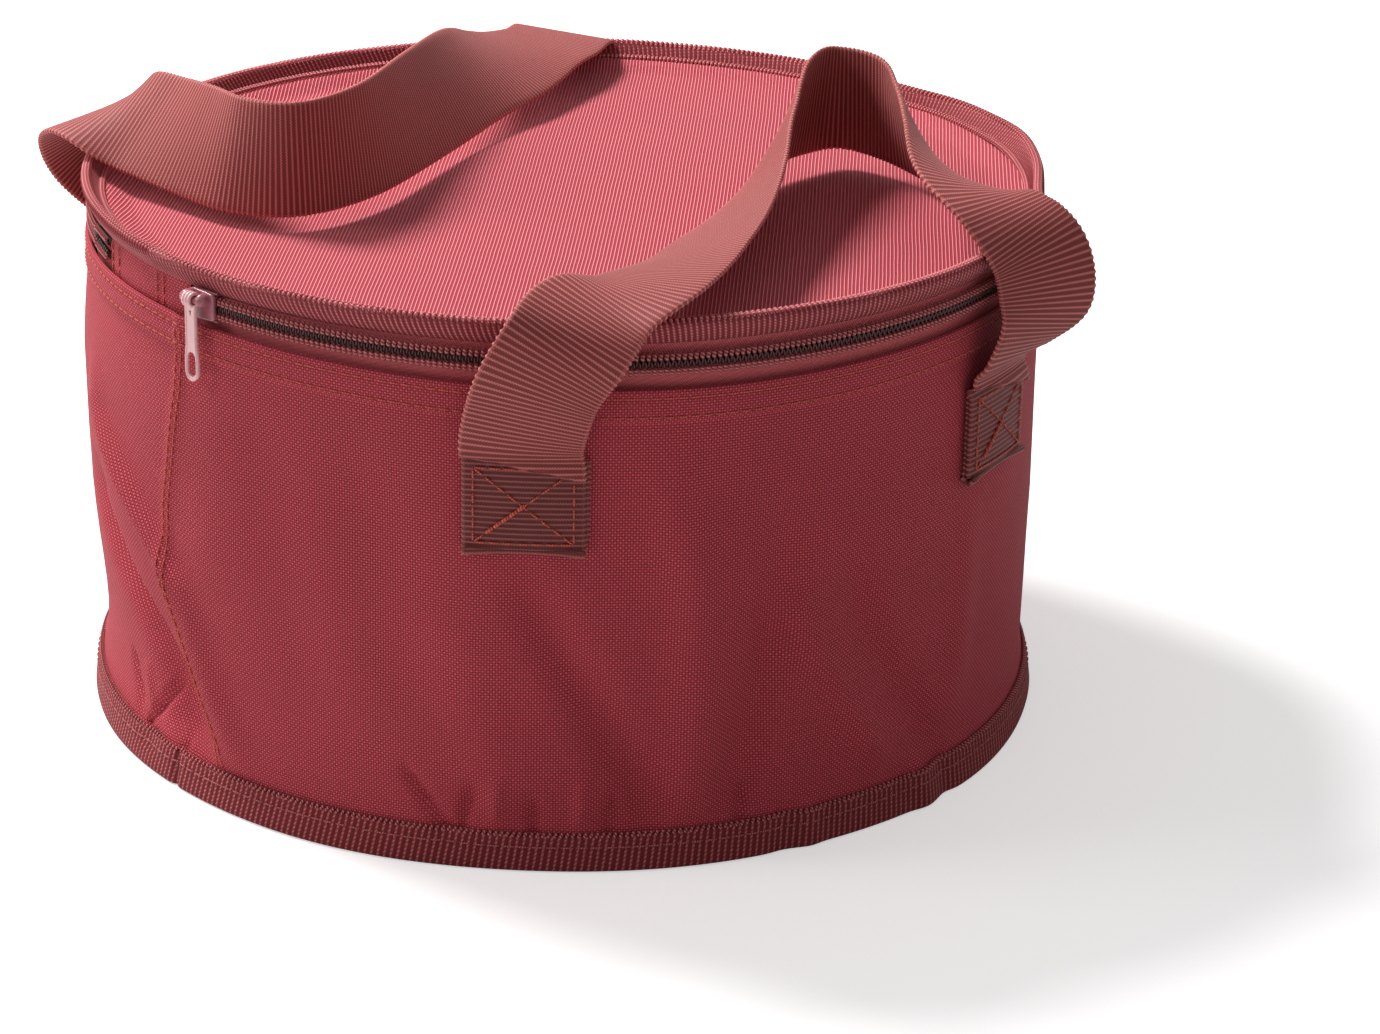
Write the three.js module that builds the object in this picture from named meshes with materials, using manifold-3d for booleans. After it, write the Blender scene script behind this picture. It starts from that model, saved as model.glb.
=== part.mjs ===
// Round zipped storage bag with a flip lid and two webbing handles
// Millimetres, +Z up. The origin is the middle of the base underside.
// -X is the side of the cloth hinge, -Y the side of the front handle.
import * as THREE from "three";
import { mergeVertices } from "three/addons/utils/BufferGeometryUtils.js";
import Module from "manifold-3d";

const wasm = await Module();
wasm.setup();

// Gap left between pieces that touch on the real bag
const seat = 0.3;

// Cloth tube of the wall
const wallRadius = 135.0;
const wallThickness = 1.2;
const wallBulge = 0.8;
const wallTop = 138.4;
const hemHeight = 9;
const hemFold = 0.8;

// Base disc
const baseThickness = 2.4;

// Folded tape round the bottom seam
const footHeight = 9.6;
const footFlare = 2.6;
const footTape = 2.2;

// Zip: the chain's centre line lies between the hem and the lid
const lowerTapeShow = 5.8;
const tapeThickness = 0.7;
const tapeGap = 1.4;
const tapeHidden = 9;
const lowerTapeWidth = 12.5;
const chainHalf = 2.9;
const coilThickness = 1.8;
const toothHeight = 2.0;
const toothGap = 0.4;
const toothPitch = 4.95;

// Cloth hinge strip, centred on -X
const hingeAngle = 180;
const hingeWidth = 46;
const hingeCloth = 0.7;
const hingeTuck = 7;

// Lid: a shallow dish in a standing rim of folded tape that leans outwards
const upperTapeShow = 4.2;
const rimLean = 37;
const rimWidth = 5.6;
const rimTape = 2.0;
const lidThickness = 1.6;
const lidDip = 2.6;
const lidSlope = 8;

// Zip slider
const sliderLength = 11;
const sliderNose = 9.6;
const sliderTail = 8.4;
const backPlateHeight = 7;
const plateThickness = 1.2;
const backPlateGap = 0.4;
const flangeGap = 0.7;
const channelGap = 0.5;
const flangeThickness = 0.9;
const postLength = 1.8;
const postHeight = 0.8;
const postInset = 0.4;
const bridgeLength = 6.7;
const bridgeBar = 1.6;
const bridgeRise = 2.6;

// Pull tab
const tabLength = 26;
const tabWidth = 3.6;
const tabEndWidth = 4.4;
const tabThickness = 1.2;
const eyeWall = 1.1;
const slotWidth = 2.2;
const slotLength = 7.5;

// Webbing handles
const webWidth = 32;
const webThickness = 1.6;
const endDrop = 20.8;
const endLength = 25.6;
const endThickness = 2.8;
const legAngle = 31.5;
const frontAngle = 264;
const backAngle = 90;

// Facets: degrees per step on round pieces, steps between two webbing stations
const fullTurn = 360;
const ringStep = 5;
const webSteps = 3;

// Centre line of each free strap, listed from its left sewn end as seen from outside:
// x, y and the height over the sewn end in shares of the wall radius, then the heading
// and the tilt in degrees of its width, from its left edge
const frontDrape = [
  [-0.624, -0.807, 0.000, -37, 0],
  [-0.631, -0.815, 0.030, -37, -4],
  [-0.638, -0.845, 0.090, -35, -10],
  [-0.636, -0.882, 0.164, -30, -17],
  [-0.591, -0.910, 0.245, -33, -20],
  [-0.503, -0.892, 0.290, -48, -18],
  [-0.370, -0.858, 0.297, -78, -8],
  [-0.170, -0.738, 0.290, -91, 0],
  [0.005, -0.586, 0.295, -93, 10],
  [0.178, -0.425, 0.312, -98, 28],
  [0.308, -0.306, 0.339, -93, 52],
  [0.436, -0.212, 0.360, -73, 76],
  [0.553, -0.177, 0.363, -143, 82],
  [0.602, -0.273, 0.363, -143, 82],
  [0.582, -0.413, 0.360, -178, 70],
  [0.505, -0.613, 0.351, -178, 50],
  [0.444, -0.796, 0.330, -175, 25],
  [0.454, -0.907, 0.308, -176, 0],
  [0.486, -0.976, 0.241, -183, -5],
  [0.487, -0.995, 0.153, -180, -5],
  [0.456, -0.955, 0.060, -165, -3],
  [0.440, -0.926, 0.030, -158, -1],
  [0.432, -0.919, 0.000, -155, 0],
];
const backDrape = [
  [0.533, 0.871, 0.000, 148, 0],
  [0.540, 0.879, 0.030, 148, 0],
  [0.561, 0.902, 0.090, 148, 0],
  [0.583, 0.910, 0.164, 149, 2],
  [0.584, 0.888, 0.245, 149, 3],
  [0.549, 0.842, 0.290, 145, 6],
  [0.463, 0.750, 0.304, 135, 10],
  [0.359, 0.683, 0.314, 125, 20],
  [0.226, 0.580, 0.326, 122, 36],
  [0.070, 0.481, 0.342, 122, 52],
  [-0.156, 0.311, 0.349, 122, 65],
  [-0.426, 0.111, 0.358, 107, 80],
  [-0.614, 0.056, 0.360, 57, 85],
  [-0.704, 0.156, 0.357, 27, 78],
  [-0.732, 0.313, 0.357, -3, 62],
  [-0.736, 0.466, 0.358, -23, 42],
  [-0.769, 0.574, 0.364, -20, 24],
  [-0.758, 0.707, 0.304, 2, 8],
  [-0.703, 0.813, 0.216, 22, 2],
  [-0.609, 0.876, 0.112, 29, 0],
  [-0.542, 0.878, 0.038, 32, 0],
  [-0.527, 0.871, 0.000, 32, 0],
];

// Sizes that follow from the ones above
const zipHeight = wallTop + lowerTapeShow;
const rimFoot = zipHeight + upperTapeShow;
const endTop = wallTop - endDrop;
const endBottom = endTop - endLength;
const hemOuter = wallRadius + hemFold + seat;
const hemInner = hemOuter - wallThickness;
const tapeRadius = hemInner - hingeCloth - tapeThickness - 2 * seat;
const tapeOuter = tapeRadius + tapeThickness;
const coilInner = tapeOuter + seat;
const coilOuter = coilInner + coilThickness;
const plateInner = coilOuter + channelGap;
const plateOuter = plateInner + plateThickness;
const eyeInner = bridgeBar / 2 + seat;
const eyeOuter = eyeInner + eyeWall;
const barRadius = plateOuter + eyeOuter + seat;
const barHeight = zipHeight + bridgeRise;
const hingeHalf = degrees(hingeWidth / 2 / tapeOuter);
const hingeStart = hingeAngle - hingeHalf;
const hingeEnd = hingeAngle + hingeHalf;
const edgeGap = degrees(2 * seat / tapeOuter);
const tapeTuck = degrees(tapeHidden / tapeOuter);
const sliderHalf = degrees(sliderLength / 2 / plateInner);
const sliderAngle = hingeEnd + edgeGap + sliderHalf;
const chainStart = sliderAngle - sliderHalf + degrees((postInset + postLength + seat) / coilInner);
const chainEnd = fullTurn + hingeStart - edgeGap;

function degrees(radians) {
  return THREE.MathUtils.radToDeg(radians);
}

function radians(angle) {
  return THREE.MathUtils.degToRad(angle);
}

// Point at a radius, a math angle in degrees and a height
function polar(radius, angle, height) {
  return new THREE.Vector3(
    radius * Math.cos(radians(angle)),
    radius * Math.sin(radians(angle)),
    height,
  );
}

// Closed solid through loops of points that run anticlockwise seen along the path
function loft(loops, capOutline) {
  const count = loops[0].length;
  const index = [];
  const spans = capOutline ? loops.length - 1 : loops.length;
  for (let span = 0; span < spans; span++) {
    const near = span * count;
    const far = ((span + 1) % loops.length) * count;
    for (let i = 0; i < count; i++) {
      const next = (i + 1) % count;
      index.push(near + i, far + i, far + next);
      index.push(near + i, far + next, near + next);
    }
  }
  if (capOutline) {
    const last = (loops.length - 1) * count;
    for (const [a, b, c] of THREE.ShapeUtils.triangulateShape(capOutline, [])) {
      index.push(a, b, c);
      index.push(last + a, last + c, last + b);
    }
  }
  const geometry = new THREE.BufferGeometry();
  const positions = loops.flat().flatMap((point) => point.toArray());
  geometry.setAttribute("position", new THREE.Float32BufferAttribute(positions, 3));
  geometry.setIndex(index);
  geometry.computeVertexNormals();
  return geometry;
}

// Profile of [radius, height] points, anticlockwise, swept round the bag's axis
function ring(profile, from = 0, to = fullTurn) {
  const whole = to - from >= fullTurn;
  const steps = Math.round((to - from) / ringStep);
  const loops = [];
  for (let k = 0; k < (whole ? steps : steps + 1); k++) {
    const angle = from + (k * (to - from)) / steps;
    loops.push(profile.map(([radius, height]) => polar(radius, angle, height)));
  }
  const outline = profile.map(([radius, height]) => new THREE.Vector2(radius, height));
  return loft(loops, whole ? null : outline);
}

// Profile from the axis and back to it, turned into a disc with its axis along +Z
function disc(profile) {
  const points = profile.map(([radius, height]) => new THREE.Vector2(radius, height));
  const geometry = new THREE.LatheGeometry(points, fullTurn / ringStep);
  return geometry.rotateX(Math.PI / 2).rotateZ(Math.PI / 2);
}

function toManifold(geometry) {
  const bare = geometry.clone();
  bare.deleteAttribute("normal");
  if (bare.hasAttribute("uv")) {
    bare.deleteAttribute("uv");
  }
  const merged = mergeVertices(bare, 1e-4);
  return new wasm.Manifold(new wasm.Mesh({
    numProp: 3,
    vertProperties: new Float32Array(merged.attributes.position.array),
    triVerts: new Uint32Array(merged.index.array),
  }));
}

function fromManifold(solid) {
  const mesh = solid.getMesh();
  const geometry = new THREE.BufferGeometry();
  geometry.setAttribute("position", new THREE.BufferAttribute(mesh.vertProperties, 3));
  geometry.setIndex(new THREE.BufferAttribute(mesh.triVerts, 1));
  geometry.computeVertexNormals();
  return geometry;
}

function join(geometries) {
  const solids = geometries.map(toManifold);
  return solids.reduce((sum, solid) => sum.add(solid));
}

function box(size, centre) {
  return new THREE.BoxGeometry(...size).translate(...centre);
}

function cloth(colour) {
  return new THREE.MeshStandardMaterial({ color: colour, roughness: 0.8, metalness: 0 });
}

const wallCloth = cloth(0x7d2a37);
const lidCloth = cloth(0xb5505c);
const seamTape = cloth(0x7b3638);
const zipTape = cloth(0x743236);
const webbing = cloth(0x7a3a38);
const coilNylon = new THREE.MeshStandardMaterial({ color: 0x2b1512, roughness: 0.4, metalness: 0 });
const paintedZinc = new THREE.MeshStandardMaterial({ color: 0xd7a3a3, roughness: 0.35, metalness: 0.2 });

function named(name, geometry, material) {
  const mesh = new THREE.Mesh(geometry, material);
  mesh.name = name;
  return mesh;
}

// Outer radius of the wall cloth below the hem: a soft barrel
function wallOuter(height) {
  return wallRadius + wallBulge * Math.sin((Math.PI * height) / wallTop);
}

function wallPanel() {
  const bottom = baseThickness + seat;
  const hemBottom = wallTop - hemHeight;
  const levels = 6;
  const outer = [];
  for (let k = 0; k <= levels; k++) {
    const height = bottom + (k * (hemBottom - bottom)) / levels;
    outer.push([wallOuter(height), height]);
  }
  const inner = outer.map(([radius, height]) => [radius - wallThickness, height]).reverse();
  const hem = [
    [hemOuter, hemBottom + hemFold],
    [hemOuter, wallTop - wallThickness / 3],
    [hemOuter - wallThickness / 3, wallTop],
    [hemInner, wallTop],
    [hemInner, hemBottom + hemFold],
  ];
  return ring([...outer, ...hem, ...inner]);
}

function basePanel() {
  const edge = wallRadius;
  const bevel = baseThickness / 3;
  return disc([
    [0, 0],
    [edge - bevel, 0],
    [edge, bevel],
    [edge, baseThickness],
    [0, baseThickness],
  ]);
}

// The folded tape hangs from the bottom seam and leans out to the floor
function bottomBinding() {
  const inner = wallOuter(footHeight) + seat;
  const flare = footFlare / footHeight;
  const lower = footTape;
  return ring([
    [inner + footFlare - 0.6, 0],
    [inner + footFlare + footTape - 1.0, 0],
    [inner + footFlare + footTape - 0.2, 0.9],
    [inner + footTape, footHeight],
    [inner + footTape / 3, footHeight + 0.6],
    [inner, footHeight],
    [inner, footHeight - lower],
    [inner + flare * (footHeight - lower) - 0.6, 0.9],
  ]);
}

// Corners of the standing lid rim: a flat strip that leans outwards from its foot
function rimPoint(along, across) {
  const lean = radians(rimLean);
  return [
    tapeRadius + seat + along * Math.sin(lean) - across * Math.cos(lean),
    rimFoot + along * Math.cos(lean) + across * Math.sin(lean),
  ];
}

function lidBinding() {
  return ring([
    rimPoint(0, 0),
    rimPoint(rimWidth, 0),
    rimPoint(rimWidth + rimTape / 4, rimTape / 2),
    rimPoint(rimWidth, rimTape),
    rimPoint(0, rimTape),
  ]);
}

// The lid's cloth sags a little inside its rim and rises to the seam
function lidPanel() {
  const seam = rimPoint(0, rimTape);
  const radius = seam[0] - seat;
  const top = seam[1];
  const floor = top - lidDip;
  const flat = radius - lidSlope;
  const outside = [
    [radius, top],
    [radius - lidSlope / 3, top - lidDip * 0.6],
    [radius - (lidSlope * 2) / 3, top - lidDip * 0.9],
    [flat, floor],
    [0, floor],
  ];
  const inside = outside.map(([r, height]) => [r, height - lidThickness]).reverse();
  return disc([...inside, ...outside]);
}

function tapeArc(bottom, top) {
  const profile = [
    [tapeRadius, bottom],
    [tapeOuter, bottom],
    [tapeOuter, top],
    [tapeRadius, top],
  ];
  return ring(profile, hingeEnd - tapeTuck, fullTurn + hingeStart + tapeTuck);
}

// One row of the chain: a rail whose edge rises and falls once per tooth.
// side is -1 for the lower row and 1 for the upper one, half a pitch ahead.
function coilRow(side) {
  const pitch = degrees(toothPitch / coilInner);
  const half = pitch / 2;
  const count = Math.floor((chainEnd - chainStart) / half);
  const tip = zipHeight - side * (toothHeight - toothGap) / 2;
  const valley = tip + side * toothHeight;
  const back = zipHeight + side * chainHalf;
  const loops = [];
  for (let k = 0; k <= count; k++) {
    const rises = (k % 2 === 0) === (side < 0);
    const edge = rises ? tip : valley;
    const low = Math.min(edge, back);
    const high = Math.max(edge, back);
    const angle = chainStart + k * half;
    loops.push([
      polar(coilInner, angle, low),
      polar(coilOuter, angle, low),
      polar(coilOuter, angle, high),
      polar(coilInner, angle, high),
    ]);
  }
  return loft(loops, [
    new THREE.Vector2(0, 0),
    new THREE.Vector2(1, 0),
    new THREE.Vector2(1, 1),
    new THREE.Vector2(0, 1),
  ]);
}

function hingePanel() {
  const inner = tapeOuter + seat;
  const bottom = wallTop - hingeTuck;
  const top = rimFoot - seat;
  const profile = [
    [inner, bottom],
    [inner + hingeCloth, bottom],
    [inner + hingeCloth, top],
    [inner, top],
  ];
  return ring(profile, hingeStart, hingeEnd);
}

// Sewn end of a handle: the webbing folded double, flat on the wall
function sewnEnd(angle) {
  const inner = wallOuter(endBottom) + seat;
  const half = degrees(webWidth / 2 / (inner + endThickness / 2));
  const profile = [
    [inner, endBottom],
    [inner + endThickness, endBottom],
    [inner + endThickness, endTop],
    [inner, endTop],
  ];
  return ring(profile, angle - half, angle + half);
}

function catmullRom(a, b, c, d, t) {
  const p = (2 * b + (c - a) * t);
  const q = (2 * a - 5 * b + 4 * c - d) * t * t;
  const r = (3 * b - a - 3 * c + d) * t * t * t;
  return (p + q + r) / 2;
}

// Smooth run through the stations: rows of x, y, z and the width's direction
function smoothRun(stations) {
  const rows = stations.map(([x, y, z, heading, tilt]) => {
    const flat = Math.cos(radians(tilt));
    const across = [Math.cos(radians(heading)) * flat, Math.sin(radians(heading)) * flat];
    return [x, y, z, ...across, Math.sin(radians(tilt))];
  });
  const last = rows.length - 1;
  const beyond = (end, next) => end.map((value, i) => 2 * value - next[i]);
  const padded = [beyond(rows[0], rows[1]), ...rows, beyond(rows[last], rows[last - 1])];
  const run = [];
  for (let k = 0; k < last; k++) {
    for (let step = 0; step < webSteps; step++) {
      const t = step / webSteps;
      const [a, b, c, d] = padded.slice(k, k + 4);
      run.push(b.map((_, i) => catmullRom(a[i], b[i], c[i], d[i], t)));
    }
  }
  run.push(rows[last]);
  return run;
}

// Free strap of a handle. Its width stays square to the run, except at the
// sewn ends, where it lies level along the top of the end.
function strap(drape) {
  const foot = new THREE.Vector3(0, 0, endTop + seat);
  const run = smoothRun(drape);
  const centre = run.map((row) => (
    new THREE.Vector3(...row.slice(0, 3)).multiplyScalar(wallRadius).add(foot)
  ));
  const loops = centre.map((point, k) => {
    const before = centre[Math.max(k - 1, 0)];
    const after = centre[Math.min(k + 1, centre.length - 1)];
    const along = after.clone().sub(before).normalize();
    const across = new THREE.Vector3(...run[k].slice(3)).normalize();
    const square = Math.min(1, k / (2 * webSteps), (centre.length - 1 - k) / (2 * webSteps));
    across.addScaledVector(along, -square * across.dot(along)).normalize();
    const out = across.clone().cross(along).normalize();
    const corner = (side, face) => point.clone()
      .addScaledVector(across, (side * webWidth) / 2)
      .addScaledVector(out, (face * webThickness) / 2);
    return [corner(-1, -1), corner(1, -1), corner(1, 1), corner(-1, 1)];
  });
  return loft(loops, [
    new THREE.Vector2(0, 0),
    new THREE.Vector2(1, 0),
    new THREE.Vector2(1, 1),
    new THREE.Vector2(0, 1),
  ]);
}

// Extrudes an outline of (along the chain, height) outwards from a radius
function outwards(shape, radius, depth) {
  const geometry = new THREE.ExtrudeGeometry(shape, {
    depth,
    bevelEnabled: false,
    curveSegments: 5,
  });
  const along = new THREE.Vector3(0, 1, 0);
  const up = new THREE.Vector3(0, 0, 1);
  const out = new THREE.Vector3(1, 0, 0);
  geometry.applyMatrix4(new THREE.Matrix4().makeBasis(along, up, out));
  return geometry.translate(radius, 0, 0);
}

// Shield outline of a slider plate, about the chain's centre: wide at the nose
function plateShape(noseHeight, tailHeight) {
  const nose = -sliderLength / 2;
  const tail = sliderLength / 2;
  const shoulder = nose + noseHeight / 3;
  const top = zipHeight + noseHeight / 2;
  const bottom = zipHeight - noseHeight / 2;
  const shape = new THREE.Shape();
  shape.moveTo(tail, zipHeight - tailHeight / 2);
  shape.lineTo(tail, zipHeight + tailHeight / 2);
  shape.lineTo(shoulder, top);
  shape.quadraticCurveTo(nose, top, nose, zipHeight + noseHeight / 4);
  shape.lineTo(nose, zipHeight - noseHeight / 4);
  shape.quadraticCurveTo(nose, bottom, shoulder, bottom);
  return shape;
}

// Slider in its own frame: x outwards from the bag's axis, y along the chain
function zipSlider() {
  const frontShape = plateShape(sliderNose, sliderTail);
  const front = outwards(frontShape, plateInner, plateThickness);
  const backInner = tapeRadius - backPlateGap - plateThickness;
  const backShape = plateShape(backPlateHeight, backPlateHeight - sliderNose + sliderTail);
  const back = outwards(backShape, backInner, plateThickness);
  const flangeInner = tapeOuter + flangeGap;
  const flangeDepth = plateInner + plateThickness / 2 - flangeInner;
  const flangeLength = sliderLength - sliderNose / 3;
  const flanges = [-1, 1].map((side) => box(
    [flangeDepth, flangeLength, flangeThickness],
    [
      flangeInner + flangeDepth / 2,
      sliderLength / 2 - flangeLength / 2,
      zipHeight + side * (sliderTail - flangeThickness) / 2,
    ],
  ));
  const postDepth = plateInner + plateThickness / 2 - (backInner + plateThickness / 2);
  const post = box(
    [postDepth, postLength, postHeight],
    [
      backInner + plateThickness / 2 + postDepth / 2,
      (postLength - sliderLength) / 2 + postInset,
      zipHeight,
    ],
  );
  const legWidth = bridgeBar * 0.75;
  const legRise = barRadius + bridgeBar / 2 - plateInner - plateThickness / 2;
  const legs = [-1, 1].map((side) => box(
    [legRise, legWidth, bridgeBar * 1.6],
    [
      plateInner + plateThickness / 2 + legRise / 2,
      side * (bridgeLength - legWidth) / 2,
      barHeight,
    ],
  ));
  const bar = new THREE.CylinderGeometry(bridgeBar / 2, bridgeBar / 2, bridgeLength - legWidth, 10)
    .translate(barRadius, 0, 0)
    .applyMatrix4(new THREE.Matrix4().makeTranslation(0, 0, barHeight));
  return fromManifold(join([front, back, ...flanges, post, ...legs, bar]));
}

// Pull tab: an eye round the slider's bar and a flat tongue that hangs from it
function pullTab() {
  const profile = new THREE.Shape();
  profile.absarc(barRadius, barHeight, eyeOuter, -Math.PI / 3, Math.PI * 4 / 3, false);
  profile.lineTo(barRadius - tabThickness / 2, barHeight - eyeOuter * 1.2);
  profile.lineTo(barRadius - tabThickness / 2, barHeight - tabLength);
  profile.lineTo(barRadius + tabThickness / 2, barHeight - tabLength);
  profile.lineTo(barRadius + tabThickness / 2, barHeight - eyeOuter * 1.2);
  const eye = new THREE.Path();
  eye.absarc(barRadius, barHeight, eyeInner, 0, Math.PI * 2, true);
  profile.holes.push(eye);
  const side = new THREE.ExtrudeGeometry(profile, {
    depth: tabEndWidth,
    bevelEnabled: false,
    curveSegments: 7,
  });
  side.applyMatrix4(new THREE.Matrix4().makeBasis(
    new THREE.Vector3(1, 0, 0),
    new THREE.Vector3(0, 0, 1),
    new THREE.Vector3(0, -1, 0),
  ));
  side.translate(0, tabEndWidth / 2, 0);
  const face = outwards(tabFace(), barRadius - eyeOuter - 1, 2 * eyeOuter + 2);
  return fromManifold(toManifold(side).intersect(toManifold(face)));
}

// Front outline of the tab, with its small top hole and long finger slot
function tabFace() {
  const bottom = barHeight - tabLength;
  const top = barHeight + eyeOuter + 1;
  const half = tabWidth / 2;
  const end = tabEndWidth / 2;
  const shape = new THREE.Shape();
  shape.moveTo(half, top);
  shape.lineTo(-half, top);
  shape.lineTo(-half, bottom + slotLength + end);
  shape.lineTo(-end, bottom + slotLength);
  shape.lineTo(-end, bottom + end);
  shape.absarc(0, bottom + end, end, Math.PI, 2 * Math.PI, false);
  shape.lineTo(end, bottom + slotLength);
  shape.lineTo(half, bottom + slotLength + end);
  const slot = new THREE.Path();
  const slotTop = bottom + end + slotLength - slotWidth;
  slot.absarc(0, bottom + end, slotWidth / 2, 0, Math.PI, true);
  slot.absarc(0, slotTop, slotWidth / 2, Math.PI, 0, true);
  const notch = new THREE.Path();
  const notchTop = barHeight - eyeOuter - seat * 3;
  notch.moveTo(-slotWidth / 3, notchTop);
  notch.lineTo(slotWidth / 3, notchTop);
  notch.lineTo(0, notchTop - slotWidth);
  shape.holes.push(slot, notch);
  return shape;
}

const bag = new THREE.Group();
bag.add(named("base_panel", basePanel(), wallCloth));
bag.add(named("wall_panel", wallPanel(), wallCloth));
bag.add(named("bottom_binding", bottomBinding(), seamTape));
bag.add(named("lower_zip_tape", tapeArc(zipHeight - lowerTapeWidth, zipHeight - tapeGap / 2), zipTape));
bag.add(named("lower_zip_coil", coilRow(-1), coilNylon));
bag.add(named("hinge_panel", hingePanel(), wallCloth));
bag.add(named("front_handle_left_end", sewnEnd(frontAngle - legAngle), webbing));
bag.add(named("front_handle_right_end", sewnEnd(frontAngle + legAngle), webbing));
bag.add(named("back_handle_left_end", sewnEnd(backAngle - legAngle), webbing));
bag.add(named("back_handle_right_end", sewnEnd(backAngle + legAngle), webbing));

const lid = new THREE.Group();
lid.add(named("lid_panel", lidPanel(), lidCloth));
lid.add(named("lid_binding", lidBinding(), seamTape));
lid.add(named("upper_zip_tape", tapeArc(zipHeight + tapeGap / 2, rimFoot - seat), zipTape));
lid.add(named("upper_zip_coil", coilRow(1), coilNylon));

const slider = new THREE.Group();
slider.rotation.z = radians(sliderAngle);
slider.add(named("zip_slider", zipSlider(), paintedZinc));
slider.add(named("pull_tab", pullTab(), paintedZinc));

const handles = new THREE.Group();
handles.add(named("front_handle_strap", strap(frontDrape), webbing));
handles.add(named("back_handle_strap", strap(backDrape), webbing));

const storageBag = new THREE.Group();
storageBag.add(bag, lid, slider, handles);
export default storageBag;
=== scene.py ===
# Round zipped storage bag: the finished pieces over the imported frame
# Sizes and points are in millimetres until a mesh is made, +Z up, angles in degrees.
# -X is the hinge side, and the photograph looks from between -X and -Y.
import math

import bmesh
import bpy
import numpy as np
from mathutils import Matrix, Vector


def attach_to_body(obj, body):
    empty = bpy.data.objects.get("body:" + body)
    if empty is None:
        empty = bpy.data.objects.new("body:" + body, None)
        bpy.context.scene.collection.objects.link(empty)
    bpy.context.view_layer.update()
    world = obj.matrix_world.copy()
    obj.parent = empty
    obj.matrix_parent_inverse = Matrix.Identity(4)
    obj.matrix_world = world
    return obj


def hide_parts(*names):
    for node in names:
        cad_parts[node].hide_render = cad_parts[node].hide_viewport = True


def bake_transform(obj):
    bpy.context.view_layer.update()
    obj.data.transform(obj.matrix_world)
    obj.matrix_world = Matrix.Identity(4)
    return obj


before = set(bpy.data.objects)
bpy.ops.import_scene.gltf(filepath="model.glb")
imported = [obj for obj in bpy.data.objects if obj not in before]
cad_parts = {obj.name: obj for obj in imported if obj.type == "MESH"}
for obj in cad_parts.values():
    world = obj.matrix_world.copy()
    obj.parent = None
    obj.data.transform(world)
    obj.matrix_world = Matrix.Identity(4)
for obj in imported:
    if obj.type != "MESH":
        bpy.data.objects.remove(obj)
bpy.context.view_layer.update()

MM = 0.001

# Wall
WALL_RADIUS = 135.0
WALL_THICKNESS = 1.2
WALL_FOOT = 2.7
HEM_HEIGHT = 9.0
HEM_RADIUS = 135.35
TOPSTITCH = (2.4, 7.6)
SEAM_ANGLE = 183.0

# Zip
TAPE_RADIUS = 133.25
TAPE_THICKNESS = 0.7
TAPE_PITCH = 0.7
COIL_RADIUS = 134.8
COIL_PITCH = 1.55
COIL_WIRE = 0.31
HINGE = (170.14, 189.86)
CHAIN = (192.0, 529.8)
TAPE = (186.0, 534.0)
HINGE_RADIUS = 134.25
HINGE_CLOTH = 0.7
HINGE_FOOT = 131.4
HINGE_SWELL = (178, 9)

# Lid
RIM_FOOT = 148.4
RIM_LOW = 147.3
RIM_RISE = 7.4
RIM_PITCH = 1.5
LID_RADIUS = 131.2
LID_EDGE = 149.6
LID_DIP = 2.6
LID_THICKNESS = 1.6
RIB_DIRECTION = 52.5
RIB_PITCH = 1.01
GRAIN_PITCH = 0.62

# Bottom binding: its ribs, the radius between its two layers, the heights over which it
# takes hold of the wall, and the groove above it
FOOT_PITCH = 1.8
FOOT_MIDDLE = 136.88
FOOT_HELD = (9.0, 17.0)
FOOT_GROOVE = 11.2

# Slider and tab
SLIDER_ANGLE = 192.435
SLIDER_HEIGHT = 144.2
SLIDER_FRONT = 136.8
SLIDER_MIDDLE = 135.0
SLIDER_BACK = 131.9
BAR_RADIUS = 139.9
BAR_HEIGHT = 146.8
TAB_FOOT = 124.4

# Webbing
WEB_WIDTH = 32.0
WEB_HALF = 0.7
WEB_PITCH = 1.45
BEAD_PITCH = 0.76
SELVEDGE = 0.8
TWIST_PITCH = 0.7
SEWN_RADIUS = 138.05
SEWN_TOP = 117.6
SEWN_FOOT = 92.0
STRAP_FOOT = 117.9
LIP_HEIGHT = 115.6
LIP_SLOPE = 0.2
SEWN_ANGLES = {
    "front_handle_left_end": 232.5,
    "front_handle_right_end": 295.5,
    "back_handle_left_end": 58.5,
    "back_handle_right_end": 121.5,
}

# Free straps from the left sewn end to the right one: x, y and the height over the
# sewn end in shares of the wall radius, heading and tilt of the width in degrees.
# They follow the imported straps, and stray from them by up to about 6 mm.
FRONT_DRAPE = (
    (-0.624, -0.807, 0.000, -37, 0), (-0.631, -0.815, 0.030, -37, -4),
    (-0.638, -0.845, 0.090, -35, -10), (-0.636, -0.882, 0.164, -30, -17),
    (-0.595, -0.908, 0.245, -33, -19), (-0.514, -0.885, 0.298, -48, -11),
    (-0.377, -0.853, 0.315, -78, 3), (-0.183, -0.729, 0.310, -91, 16),
    (-0.006, -0.578, 0.305, -93, 22), (0.172, -0.421, 0.315, -98, 34),
    (0.308, -0.306, 0.345, -93, 54), (0.436, -0.212, 0.374, -73, 76),
    (0.553, -0.177, 0.378, -143, 82), (0.602, -0.273, 0.374, -143, 82),
    (0.582, -0.413, 0.360, -176, 69), (0.500, -0.617, 0.358, -172, 46),
    (0.448, -0.790, 0.360, -170, 12), (0.458, -0.900, 0.330, -174, -4),
    (0.488, -0.973, 0.254, -181, -8), (0.487, -0.995, 0.153, -180, -5),
    (0.456, -0.955, 0.060, -165, -3), (0.440, -0.926, 0.030, -158, -1),
    (0.432, -0.919, 0.000, -155, 0),
)
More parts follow.
